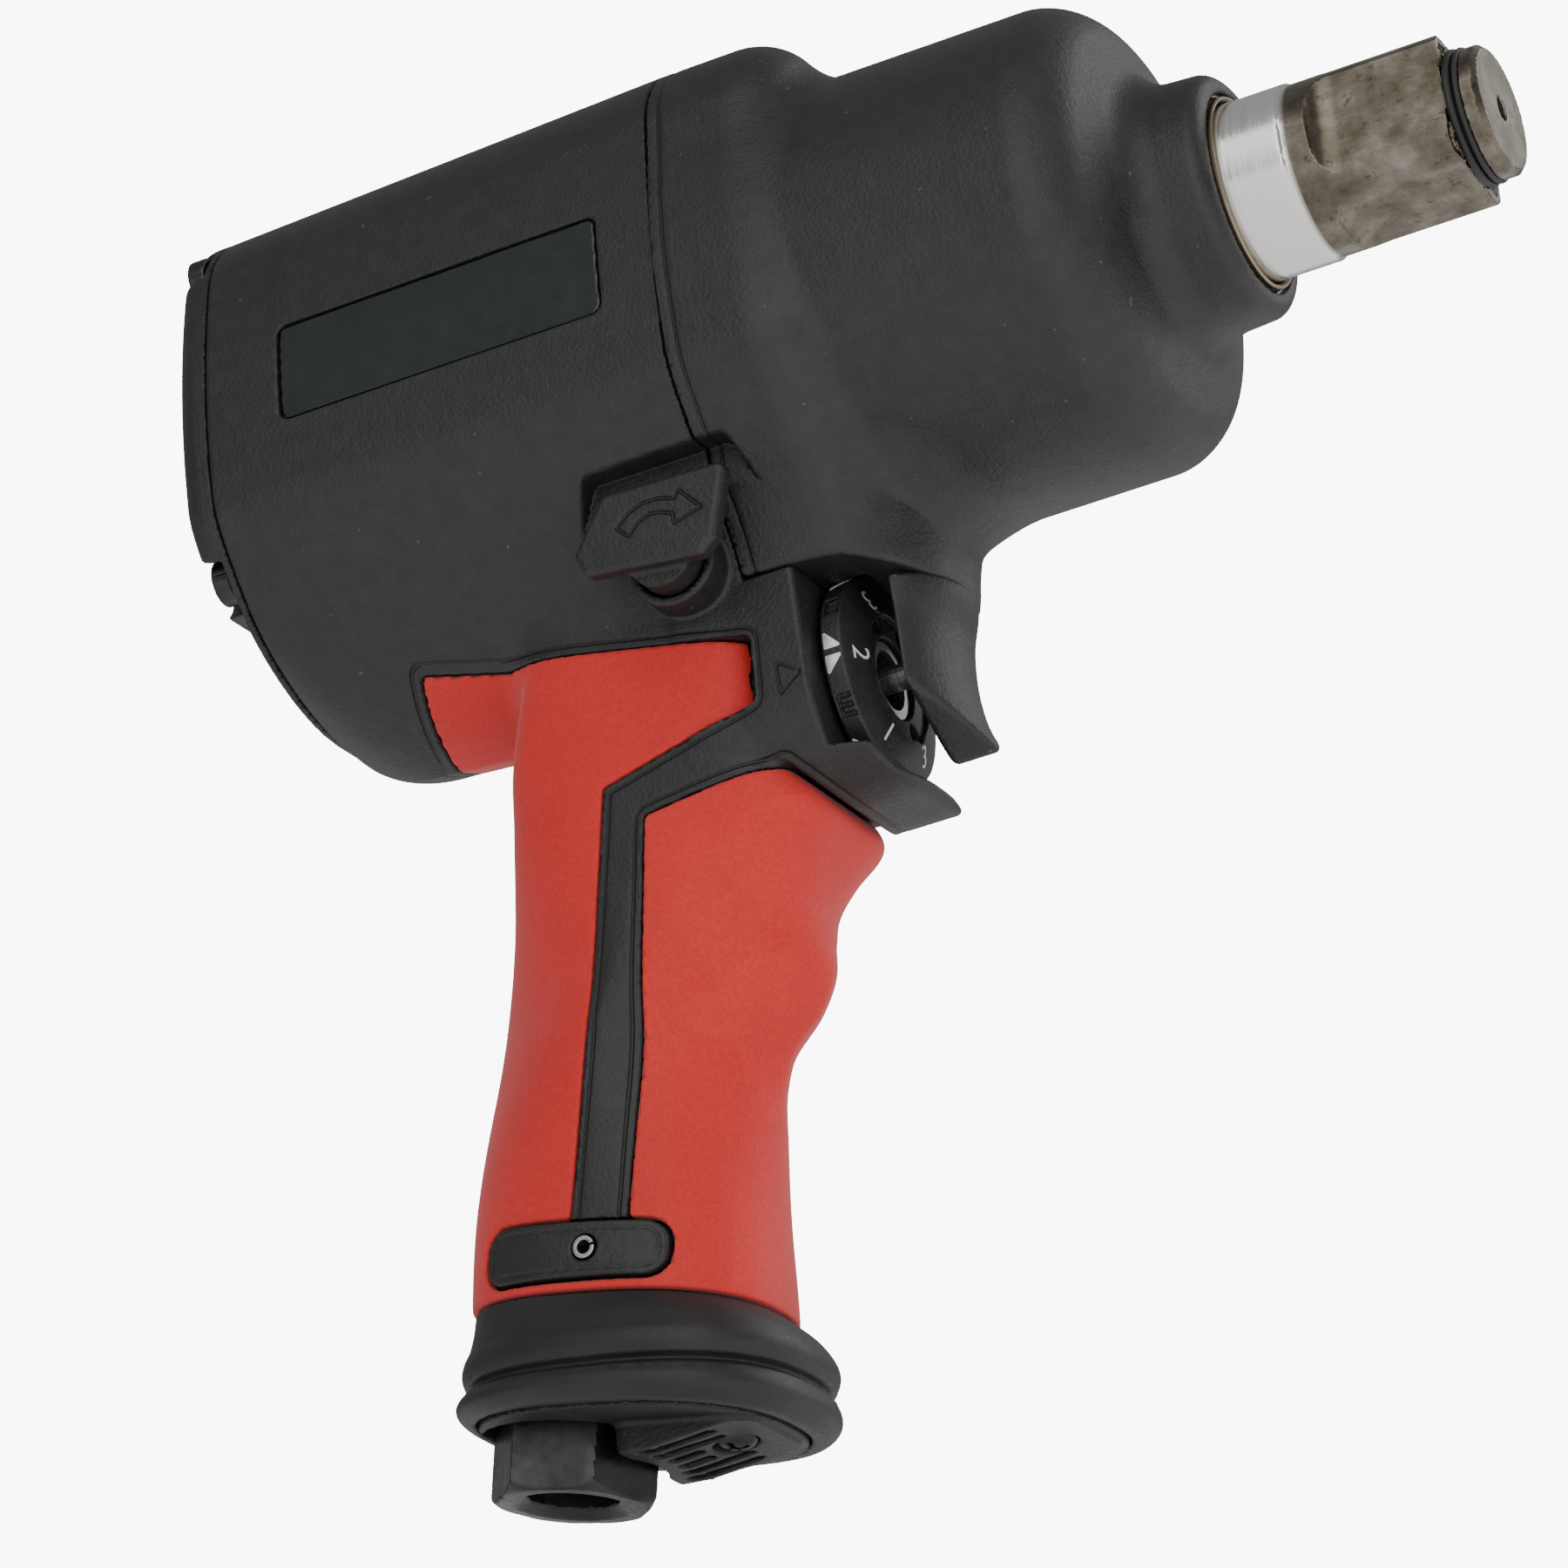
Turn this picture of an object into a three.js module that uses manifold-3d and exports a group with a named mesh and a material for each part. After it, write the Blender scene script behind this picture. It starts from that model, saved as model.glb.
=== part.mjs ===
// Air impact wrench with a pistol grip and a 3/4 inch square drive.
// Frame of the tool: +X towards the drive end, +Z up, +Y to the left. The barrel axis is the X axis until
// the last lines, which move the whole tool so that the origin lies under the middle of its lowest point.
// All sizes are in millimetres.

import * as THREE from 'three';
import { mergeVertices } from 'three/addons/utils/BufferGeometryUtils.js';
import Module from 'manifold-3d';

const wasm = await Module();
wasm.setup();

// ---------------------------------------------------------------- driving dimensions

const GAP = 0.3; // clearance kept between neighbouring pieces
const DEGREE = Math.PI / 180;

const REAR_X = -71.4; // back of the rear cover
const RIM_X = -66.2; // back rim of the motor housing
const SEAM_X = 5; // joint between the motor housing and the hammer case cover
const CASE_X = 60; // end of the round part of the hammer case cover
const NOSE_X = 80.5; // end of the nose
const JOURNAL_X = 94.9; // start of the square drive
const SQUARE_X = 112.9; // end of the square drive
const TIP_X = 118; // drive end

const HALF_WIDTH = 35.2; // half width of the barrel section where it is widest
const WIDEST_Z = -15;
const TOP_Z = 38.8; // top of the barrel section
const CORNER = 14; // its upper corner radius
const LOW_HALF = 19.5; // half width of the body below the barrel
const CASE_R = 33.8; // round part of the hammer case cover
const NOSE_R = 17.5;
const SQUARE = 19.05; // 3/4 inch across the flats
const FLAT_TURN = 6.7 * DEGREE; // the square stands a little turned
const JOURNAL_R = 12.8;

const LEAN = 11.7 * DEGREE; // the grip leans back from the vertical
const FOOT_Z = -138; // end of the red grip, along the grip
const BASE_Z = -154; // underside of the base ring
const INLET_Z = -163.3; // end face of the air inlet
const INLET_X = -14.6; // inlet axis, in the grip's frame
const INLET_FLATS = 20.5;
const SKIN = 2.2; // thickness of the red overmould
const PIN_X = -5.5; // roll pin through the grip, in the grip's frame
const PIN_Z = -132.2;
const MUFFLER_X = 4.2; // exhaust passage, in the grip's frame
const SCREW_X = 9.6; // exhaust cover screw, in the grip's frame

const DIAL = new THREE.Vector3(13.4, 0, -53.7); // centre of the power dial's back face
const DIAL_R = 15;
const DIAL_THICK = 4.9;
const LEVER = new THREE.Vector3(-2.7, 0, -37.8); // axis of the reverse lever
const LEVER_FACE = 30.6; // outer face of the lever paddle, from the middle plane
const CAVITY_R = 27; // bore of the housing round the motor
const ROTOR_R = 19;
const CYLINDER_BORE = 21.9;
const CYLINDER_RISE = 2.3; // the cylinder bore sits above the rotor axis
const HAMMER_R = 27;

// ---------------------------------------------------------------- geometry helpers

// One closed body with shared vertices and its faces pointing out.
function closed(geometry) {
  geometry.deleteAttribute('normal');
  geometry.deleteAttribute('uv');
  const merged = mergeVertices(geometry, 1e-4);
  const index = Array.from(merged.index.array);
  const kept = [];
  for (let i = 0; i < index.length; i += 3) {
    const [a, b, c] = index.slice(i, i + 3);
    if (a !== b && b !== c && c !== a) kept.push(a, b, c);
  }
  if (volume(merged.attributes.position, kept) < 0) kept.reverse();
  merged.setIndex(kept);
  return merged;
}

function volume(position, index) {
  const [a, b, c] = [new THREE.Vector3(), new THREE.Vector3(), new THREE.Vector3()];
  let total = 0;
  for (let i = 0; i < index.length; i += 3) {
    a.fromBufferAttribute(position, index[i]);
    b.fromBufferAttribute(position, index[i + 1]);
    c.fromBufferAttribute(position, index[i + 2]);
    total += a.dot(b.cross(c)) / 6;
  }
  return total;
}

function toSolid(geometry) {
  const vertProperties = Float32Array.from(geometry.attributes.position.array);
  const triVerts = Uint32Array.from(geometry.index.array);
  return new wasm.Manifold(new wasm.Mesh({ numProp: 3, vertProperties, triVerts }));
}

function fromSolid(solid) {
  const mesh = solid.getMesh();
  const geometry = new THREE.BufferGeometry();
  geometry.setAttribute('position', new THREE.BufferAttribute(mesh.vertProperties, 3));
  geometry.setIndex(new THREE.BufferAttribute(mesh.triVerts, 1));
  return geometry;
}

function join(first, ...others) {
  return fromSolid(others.reduce((sum, other) => sum.add(toSolid(other)), toSolid(first)));
}

function cut(first, ...others) {
  return fromSolid(others.reduce((sum, other) => sum.subtract(toSolid(other)), toSolid(first)));
}

function common(first, second) {
  return fromSolid(toSolid(first).intersect(toSolid(second)));
}

// A body turned about the X axis from [x, radius] points.
function turned(profile, segments = 24) {
  const points = profile.map(([x, radius]) => new THREE.Vector2(radius, x));
  return closed(new THREE.LatheGeometry(points, segments).rotateZ(-Math.PI / 2));
}

function rod(x0, x1, radius, segments = 16) {
  return turned([[x0, 0], [x0, radius], [x1, radius], [x1, 0]], segments);
}

function tube(x0, x1, outer, inner, segments = 24) {
  return turned([[x0, inner], [x0, outer], [x1, outer], [x1, inner], [x0, inner]], segments);
}

// A rod along the Y axis, and one along the Z axis.
function rodY(y0, y1, radius, segments = 12) {
  return rod(y0, y1, radius, segments).rotateZ(Math.PI / 2);
}

function rodZ(z0, z1, radius, segments = 16) {
  return rod(z0, z1, radius, segments).rotateY(-Math.PI / 2);
}

function outline(points) {
  return new THREE.Shape(points.map(([x, y]) => new THREE.Vector2(x, y)));
}

// A plate with an [x, z] outline, from y0 to y1.
function plateXZ(shape, y0, y1) {
  const options = { depth: y1 - y0, bevelEnabled: false, curveSegments: 4 };
  const flat = Array.isArray(shape) ? outline(shape) : shape;
  return closed(new THREE.ExtrudeGeometry(flat, options).rotateX(Math.PI / 2).translate(0, y1, 0));
}

// A bar with a [y, z] outline, from x0 to x1.
function barYZ(shape, x0, x1) {
  const options = { depth: x1 - x0, bevelEnabled: false, curveSegments: 4 };
  const flat = Array.isArray(shape) ? outline(shape) : shape;
  const turn = new THREE.Matrix4().makeBasis(
    new THREE.Vector3(0, 1, 0), new THREE.Vector3(0, 0, 1), new THREE.Vector3(1, 0, 0));
  return closed(new THREE.ExtrudeGeometry(flat, options).applyMatrix4(turn).translate(x0, 0, 0));
}

// A block with an [x, y] outline, from z0 to z1.
function blockXY(shape, z0, z1) {
  const options = { depth: z1 - z0, bevelEnabled: false, curveSegments: 4 };
  const flat = Array.isArray(shape) ? outline(shape) : shape;
  return closed(new THREE.ExtrudeGeometry(flat, options).translate(0, 0, z0));
}

function box(x0, x1, y0, y1, z0, z1) {
  const geometry = new THREE.BoxGeometry(x1 - x0, y1 - y0, z1 - z0);
  return closed(geometry.translate((x0 + x1) / 2, (y0 + y1) / 2, (z0 + z1) / 2));
}

function roundedRect(x0, x1, y0, y1, radius) {
  const shape = new THREE.Shape();
  shape.moveTo(x0 + radius, y0);
  shape.lineTo(x1 - radius, y0);
  shape.absarc(x1 - radius, y0 + radius, radius, -Math.PI / 2, 0);
  shape.absarc(x1 - radius, y1 - radius, radius, 0, Math.PI / 2);
  shape.absarc(x0 + radius, y1 - radius, radius, Math.PI / 2, Math.PI);
  shape.absarc(x0 + radius, y0 + radius, radius, Math.PI, Math.PI * 1.5);
  return shape;
}

// A body through a row of rings that have the same number of points.
function loft(rings) {
  const count = rings[0].length;
  const points = rings.flat();
  const index = [];
  for (let ring = 0; ring + 1 < rings.length; ring += 1) {
    for (let i = 0; i < count; i += 1) {
      const a = ring * count + i;
      const b = ring * count + (i + 1) % count;
      index.push(a, b, b + count, a, b + count, a + count);
    }
  }
  for (const [start, flip] of [[0, true], [(rings.length - 1) * count, false]]) {
    const centre = new THREE.Vector3();
    for (let i = 0; i < count; i += 1) centre.add(points[start + i]);
    points.push(centre.divideScalar(count));
    for (let i = 0; i < count; i += 1) {
      const pair = [start + i, start + (i + 1) % count];
      if (flip) pair.reverse();
      index.push(points.length - 1, ...pair);
    }
  }
  const geometry = new THREE.BufferGeometry().setFromPoints(points);
  geometry.setIndex(index);
  return closed(geometry);
}

// ---------------------------------------------------------------- body and grip shapes

// Half width of the body at height z. The sides curve in towards the top, more so at the back.
function bodyHalfWidth(x, z, bottom, foot, inset) {
  const overTop = Math.max(0, z - (TOP_Z - CORNER));
  const underSide = Math.max(0, WIDEST_Z + 4 - z);
  const top = CORNER - Math.sqrt(Math.max(0, CORNER ** 2 - overTop ** 2));
  const bow = THREE.MathUtils.mapLinear(x, SEAM_X, RIM_X, 0.0029, 0.0044);
  const side = HALF_WIDTH - bow * Math.max(0, z - WIDEST_Z) ** 2;
  const barrel = Math.max(0, side - top - 0.72 * (Math.hypot(underSide, 5) - 5));
  const low = LOW_HALF * (z < 0 ? 1 : Math.max(0, 1 - z / TOP_Z));
  const half = (barrel ** 12 + low ** 12) ** (1 / 12);
  const under = Math.max(0, bottom + foot - z);
  return half - inset - (foot - Math.sqrt(Math.max(0, foot ** 2 - under ** 2)));
}

// A ring of the body section at station x, found along rays from a point inside it.
function bodyRing(x, bottom, foot, inset) {
  const ring = [];
  const rays = 28;
  const middle = (TOP_Z + bottom) / 2;
  for (let i = 0; i < rays; i += 1) {
    const angle = (i / rays) * 2 * Math.PI;
    let [near, far] = [0, 90];
    for (let k = 0; k < 26; k += 1) {
      const r = (near + far) / 2;
      const [y, z] = [r * Math.sin(angle), middle + r * Math.cos(angle)];
      const inside = z < TOP_Z - inset && z > bottom + inset
        && Math.abs(y) < bodyHalfWidth(x, z, bottom, foot, inset);
      if (inside) near = r; else far = r;
    }
    ring.push(new THREE.Vector3(x, near * Math.sin(angle), middle + near * Math.cos(angle)));
  }
  return ring;
}

// Bottom of the body along X: [x, bottom, radius of its lower corners]. The back rises in a round belly.
const BELLY = [
  [RIM_X, -37.5, 16], [-64, -41.5, 16], [-61, -44.5, 16], [-57, -46.4, 15], [-50, -47.6, 14],
  [-38, -48.8, 12], [-28, -51, 8], [-18, -60, 6], [SEAM_X, -64, 6],
];

function bodySolid(inset = 0) {
  return loft(BELLY.map(([x, bottom, foot]) => bodyRing(x, bottom, foot, inset)));
}

// Stations of the grip in its own frame: [z, back x, front x, half width].
const GRIP = [
  [-42, -22, 15, 19.3],
  [-62, -24.5, 17.5, 19.3],
  [-69.5, -25, 23.2, 18.2],
  [-75, -25.6, 20.6, 18],
  [-80, -26.5, 19.3, 17.8],
  [-85, -27.4, 19.8, 17.8],
  [-90.5, -28.2, 20.8, 17.8],
  [-95.5, -28.7, 19.6, 17.8],
  [-101.5, -29.1, 15.3, 17.8],
  [-113, -29.7, 14.1, 17.8],
  [-123, -29.6, 14.1, 18],
  [FOOT_Z, -28.6, 15.6, 18.4],
];
// The plain core under the overmould, and the foot that carries the base ring.
const CORE = [
  [-42, -19.5, 12.4, 16.8],
  [-75, -23, 16.2, 15.5],
  [-101.5, -26.5, 12.6, 15.4],
  [-123, -27, 11.6, 15.6],
  [FOOT_Z, -26.8, 13.4, 16.4],
];
const FOOT_BACK = -26;
const FOOT_FRONT = 12.6;
const FOOT_HALF = 15.8;

function footSolid(z0, z1, inset = 0) {
  return gripLoft([z0, z1].map((z) => [z, FOOT_BACK, FOOT_FRONT, FOOT_HALF]), inset);
}

// An oval ring of the grip.
function gripRing(z, back, front, half, inset = 0) {
  const ring = [];
  const power = 2.5;
  const count = 24;
  for (let i = 0; i < count; i += 1) {
    const angle = (i / count) * 2 * Math.PI;
    const [c, s] = [Math.cos(angle), Math.sin(angle)];
    const x = Math.sign(c) * Math.abs(c) ** (2 / power) * ((front - back) / 2 - inset);
    const y = Math.sign(s) * Math.abs(s) ** (2 / power) * (half - inset);
    ring.push(new THREE.Vector3((front + back) / 2 + x, y, z));
  }
  return ring;
}

function gripLoft(stations, inset = 0) {
  return loft(stations.map((station) => gripRing(...station, inset)));
}

// The chin in front of the grip cups the dial and ends in a small lip.
const CHIN = [
  [-6, -42], [12.6, -42], [12.6, -66.5], [19.4, -70.9], [21.7, -71.2], [21.9, -72], [20.6, -73.2],
  [12.4, -73.9], [10.6, -73], [5.8, -67.8], [-6, -62],
];
const CHIN_PLAN = [
  [-6, -15.8], [SEAM_X - 0.4, -15.8], [SEAM_X - 0.4, -19], [12.6, -19], [17, -17.6], [20.4, -10],
  [22.2, -3], [22.2, 3],
  [20.4, 10], [17, 17.6], [12.6, 19], [SEAM_X - 0.4, 19], [SEAM_X - 0.4, 15.8], [-6, 15.8],
];
const CHIN_SECTION = [
  [-18.8, -30], [-18.8, -57], [-17.8, -62.4], [-15, -67.5], [-11, -71], [-5, -73.2], [5, -73.2], [11, -71],
  [15, -67.5], [17.8, -62.4], [18.8, -57], [18.8, -30],
];

// Space that the dial turns in.
function dialRoom() {
  return rod(DIAL.x - 0.6, DIAL.x + DIAL_THICK + 0.5, DIAL_R + 0.4, 32).translate(0, 0, DIAL.z);
}

function chinSolid() {
  const side = common(plateXZ(CHIN, -30, 30), blockXY(CHIN_PLAN, -80, -40));
  return cut(common(side, barYZ(CHIN_SECTION, -10, 30)), dialRoom());
}

// Outline of the red overmould seen from the side, in the grip's frame. It is one piece that goes
// round the back, the front and the foot of the grip, and leaves a black stripe and the badge free.
const RED = [
  [-37, -47.6], [14.6, -47.6], [16, -56.8], [-6.8, -67.3], [-8.2, -127.4], [-18.4, -127.5], [-22.6, -130.4],
  [-22.6, -134.4], [-19.4, -137.3], [2.9, -137.1], [7, -134.4], [7, -130.2], [2.9, -127.7], [0.4, -127.6],
  [-0.2, -71.7], [19.8, -65.1], [25.4, -69.4], [40, -80], [40, FOOT_Z - 3], [-50, FOOT_Z - 3],
  [-50, -64], [-39.6, -56.6], [-37.8, -50.4],
];

// The same outline with every side moved out by a distance.
function grown(points, distance) {
  return points.map(([x, z], i) => {
    const before = points[(i + points.length - 1) % points.length];
    const after = points[(i + 1) % points.length];
    const first = new THREE.Vector2(x - before[0], z - before[1]).normalize();
    const second = new THREE.Vector2(after[0] - x, after[1] - z).normalize();
    const mitre = first.clone().add(second).normalize();
    const reach = distance / Math.max(0.5, mitre.dot(first));
    return [x - mitre.y * reach, z + mitre.x * reach];
  });
}

function redRegion(grow) {
  return plateXZ(grown(RED, grow), -40, 40).rotateY(LEAN);
}

function outerSolid(inset) {
  return join(bodySolid(inset), gripLoft(GRIP, inset).rotateY(LEAN));
}

// ---------------------------------------------------------------- housing, covers and screws

// Label recess in the barrel sides: outlines about its own middle, and where its floor lies.
const LABEL = roundedRect(-25.5, 25.5, -7.8, 7.8, 1.6);
const LABEL_PLATE = roundedRect(-25.5 + GAP, 25.5 - GAP, -7.8 + GAP, 7.8 - GAP, 1.3);
const LABEL_MIDDLE = new THREE.Vector3(-29, 32.9, 5);
const LABEL_TILT = 8 * DEGREE;

// A plate over the label recess of one side, between two heights above its floor.
function labelPlate(shape, low, high, side) {
  const plate = plateXZ(shape, side > 0 ? low : -high, side > 0 ? high : -low);
  return plate.rotateX(side * LABEL_TILT).translate(LABEL_MIDDLE.x, side * LABEL_MIDDLE.y, LABEL_MIDDLE.z);
}

const BOLTS = [[-26, -20.2], [26, -20.2], [-22, 28.5], [22, 28.5]];
const BOLT_SEAT = RIM_X - 1.3; // face of the rear cover's corner lugs
const POCKET = [[-13.5, -7], [-13.5, 3.5], [-9.5, 14.2], [12.2, 14.2], [14.2, 6], [13.6, -7]];
const PADDLE_BACK = LEVER_FACE - 3.2;
const POCKET_FLOOR = LEVER_FACE - 5.7;

// Space that the lever paddles need on both sides of the body.
function leverRoom() {
  const points = POCKET.map(([x, z]) => [x + LEVER.x, z + LEVER.z]);
  return join(plateXZ(points, POCKET_FLOOR, 45), plateXZ(points, -45, -POCKET_FLOOR));
}

function housingCavities() {
  const holes = [
    rod(RIM_X - 1, SEAM_X + 1, CAVITY_R, 32),
    rod(SEAM_X - 0.9, SEAM_X + 1, 31, 32),
    rod(RIM_X - 1, RIM_X + 1, 29.3, 32),
    rodY(-45, 45, 5.3).translate(LEVER.x, 0, LEVER.z),
    rod(-31.2, DIAL.x + 2, 7.3).translate(0, 0, DIAL.z),
    rodZ(BASE_Z - 1, -62, 8).translate(INLET_X, 0, 0).rotateY(LEAN),
    rodZ(BASE_Z - 1, FOOT_Z - 0.4, 9.6).translate(INLET_X, 0, 0).rotateY(LEAN),
    rodZ(-142.4, -74, 6.2).translate(MUFFLER_X, 0, 0).rotateY(LEAN),
    rodZ(BASE_Z - 1, -141, 4.6).translate(MUFFLER_X - 3.8, 0, 0).rotateY(LEAN),
    labelPlate(LABEL, 0, 10, -1),
    labelPlate(LABEL, 0, 10, 1),
    pinHole().rotateY(LEAN),
    rodZ(BASE_Z - 1, -143, 1.7, 16).translate(SCREW_X, 0, 0).rotateY(LEAN),
  ];
  const boltHoles = BOLTS.map(([y, z]) => rod(RIM_X - 1, -38, 2.3, 16).translate(0, y, z));
  return [...holes, ...boltHoles];
}

function motorHousing() {
  const outer = join(outerSolid(0), chinSolid());
  const shown = cut(outer, redRegion(GAP));
  // The collar carries the lever spindle and stands out from the neck on both sides.
  const collar = rodY(-POCKET_FLOOR, POCKET_FLOOR, 6.6, 24).translate(LEVER.x, 0, LEVER.z);
  const core = join(bodySolid(SKIN + GAP), collar, gripLoft(CORE, GAP).rotateY(LEAN),
    footSolid(FOOT_Z + 1, BASE_Z + 2.5).rotateY(LEAN));
  const front = plateXZ([[SEAM_X, -41], [13.4, -41.7], [30, -41.7], [30, 60], [SEAM_X, 60]], -50, 50);
  const badgeSkin = cut(gripLoft(GRIP, -4), gripLoft(GRIP, BADGE_SINK + GAP));
  const badgeRoom = common(plateXZ(grown(BADGE, GAP), -30, 30), badgeSkin);
  return cut(join(shown, core), front, leverRoom(), badgeRoom.rotateY(LEAN), ...housingCavities());
}

// The largest of the pieces a cut has left.
function largest(geometry) {
  return fromSolid(toSolid(geometry).decompose().sort((a, b) => b.volume() - a.volume())[0]);
}

function gripOvermold() {
  const shell = cut(outerSolid(0), bodySolid(SKIN), gripLoft(CORE).rotateY(LEAN));
  const start = SEAM_X - 0.7;
  const chin = [[start, -30], [40, -30], [40, -80], [10.6, -73.4], [5.8, -68.2], [start, -67]];
  return largest(cut(common(shell, redRegion(0)), plateXZ(chin, -30, 30), pinHole().rotateY(LEAN)));
}

const BADGE = [
  [-18.4, -128.4], [2.5, -128.6], [6, -130.6], [6, -134], [2.5, -136.2], [-19, -136.4],
  [-21.6, -134], [-21.6, -130.8],
];
const BADGE_SINK = 1.7; // back of the badge below the grip's surface
const BADGE_RISE = 0.4;

// Bore of the roll pin, in the grip's frame.
function pinHole() {
  return rodY(-45, 45, 1.9, 16).translate(PIN_X, 0, PIN_Z);
}

// A blank curved badge plate that fills the gap in the overmould, in the grip's frame.
function badge(side) {
  const skin = cut(gripLoft(GRIP, -BADGE_RISE), gripLoft(GRIP, BADGE_SINK));
  const outlined = plateXZ(BADGE, side > 0 ? 5 : -30, side > 0 ? 30 : -5);
  return cut(common(skin, outlined), pinHole());
}

function rearCover() {
  const back = bodyRing(REAR_X, -37.5, 16, 2);
  const chamfer = bodyRing(REAR_X + 1.6, -37.5, 16, 0.3);
  const front = bodyRing(RIM_X - GAP, -37.5, 16, 0.1);
  const spigot = tube(RIM_X - 0.4, -57, CAVITY_R - GAP, 22);
  const seats = BOLTS.map(([y, z]) => rod(REAR_X - 1, BOLT_SEAT, 4.4, 14).translate(0, y, z));
  const corners = BOLTS.map(([y, z]) => {
    const [side, up] = [Math.sign(y), Math.sign(z)];
    const reach = box(REAR_X - 1, BOLT_SEAT, 0, 30, -4.4, 4.4).rotateX(Math.atan2(up, side));
    return reach.translate(0, y, z);
  });
  const holes = BOLTS.map(([y, z]) => rod(REAR_X - 1, RIM_X, 2.3, 12).translate(0, y, z));
  const lowerStep = box(REAR_X - 1, BOLT_SEAT, -40, 40, -60, -24.6);
  return cut(join(loft([back, chamfer, front]), spigot), lowerStep, ...seats, ...corners, ...holes);
}

function coverBolt() {
  const seat = BOLT_SEAT - GAP;
  const body = turned([[seat - 2.7, 0], [seat - 2.7, 2.9], [seat - 2.3, 3.4], [seat, 3.4], [seat, 2],
    [seat + 26, 2], [seat + 26, 0]], 16);
  return cut(body, rod(seat - 4, seat - 1.2, 1.7, 6));
}

// Stations of the skirt: [z, front x].
const SKIRT = [
  [-46, 29.2], [-42.6, 29.4], [-37, 30.5], [-33.5, 32.3], [-31.5, 35.2], [-28, 40], [-20, 40],
];

// A ring of the skirt with two round front corners.
function skirtRing(z, back, front) {
  const [half, radius] = [18, 15];
  const ring = [new THREE.Vector3(back, half, z), new THREE.Vector3(back, -half, z)];
  for (let i = 0; i < 10; i += 1) {
    const angle = ((i / 9) - 0.5) * Math.PI;
    const x = front - radius + radius * Math.cos(angle);
    const y = Math.sign(angle) * (half - radius) + radius * Math.sin(angle);
    ring.push(new THREE.Vector3(x, y, z));
  }
  return ring;
}

// The cover is square where it meets the housing and round over the hammers, with a skirt below.
function hammerCaseCover() {
  const start = SEAM_X + GAP;
  const circle = (x, radius) => bodyRing(x, -38, 18, 0).map((point) => {
    const angle = Math.atan2(point.y, point.z);
    return new THREE.Vector3(x, radius * Math.sin(angle), radius * Math.cos(angle));
  });
  const square = [bodyRing(start, -38, 18, 0), bodyRing(19, -38, 18, 0.4)];
  const flare = loft([...square, circle(30, 33), circle(34, 31.6)]);
  const round = turned([[12, 0], [12, 31], [32, CASE_R], [CASE_X, CASE_R - 0.5], [64, CASE_R - 2.6],
    [67, 27], [70, 18.6], [72, NOSE_R + 0.4], [78.5, NOSE_R], [NOSE_X, 16], [NOSE_X, 0]], 36);
  const skirt = loft(SKIRT.map(([z, front]) => skirtRing(z, start, front)));
  const inside = turned([[0, 0], [0, 31.2], [57.7, 31.2], [61.2, 30.1], [64.4, 25.3], [65.9, 16.2],
    [79.8, 16.2], [79.8, 14.3], [NOSE_X + 1, 14.3], [NOSE_X + 1, 0]], 32);
  return cut(join(flare, round, skirt), inside, leverRoom(), underSkirt(), dialRoom());
}

// Everything under the sloping lower edge of the skirt.
function underSkirt() {
  return plateXZ([[0, -40.4], [19.4, -41.3], [31.6, -44.8], [60, -44.8], [60, -70], [0, -70]], -50, 50);
}

function hammerCase() {
  return turned([[5.9, 28.4], [5.9, 30.9], [57.5, 30.9], [60.9, 29.8], [64.1, 25], [65.6, 15.9],
    [79.5, 15.9], [79.5, 14.2], [59, 14.2], [59, 28.4], [5.9, 28.4]], 28);
}

// ---------------------------------------------------------------- base, exhaust and inlet

// Stations of the rubber boot round the foot, with two ribs: [z, back x, front x, half width].
const BASE = [
  [FOOT_Z - GAP, -28, 15.2, 18.2],
  [-140, -28, 17, 19],
  [-141.5, -28.2, 20.2, 20.6],
  [-143.4, -28.6, 21.2, 21.2],
  [-145.6, -28.6, 21, 21.2],
  [-146.8, -27.6, 20, 20.4],
  [-148, -28.2, 20.6, 21],
  [-149.4, -28.8, 21.3, 21.6],
  [-151.6, -28.8, 21.3, 21.6],
  [BASE_Z, -27.4, 19.6, 20],
];
// Outline of the exhaust cover seen from the side: a flat plate with a wedge under it.
const EXHAUST = [
  [-40, BASE_Z + 2], [20, BASE_Z + 2], [20, BASE_Z - 0.4], [12, -155.6], [4, -158], [-0.6, -158.6],
  [-2.6, BASE_Z - 0.4], [-40, BASE_Z - 0.4],
];

function baseRing() {
  const foot = footSolid(FOOT_Z + 4, BASE_Z - 1, -GAP);
  const screwRoom = rodZ(BASE_Z - 1, -140, 3.5, 16).translate(SCREW_X, 0, 0);
  const recess = gripLoft([[BASE_Z + 2.6, -26.8, 18, 18.8], [BASE_Z - 1, -26.8, 18, 18.8]]);
  return cut(gripLoft(BASE), foot, recess, screwRoom);
}

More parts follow.
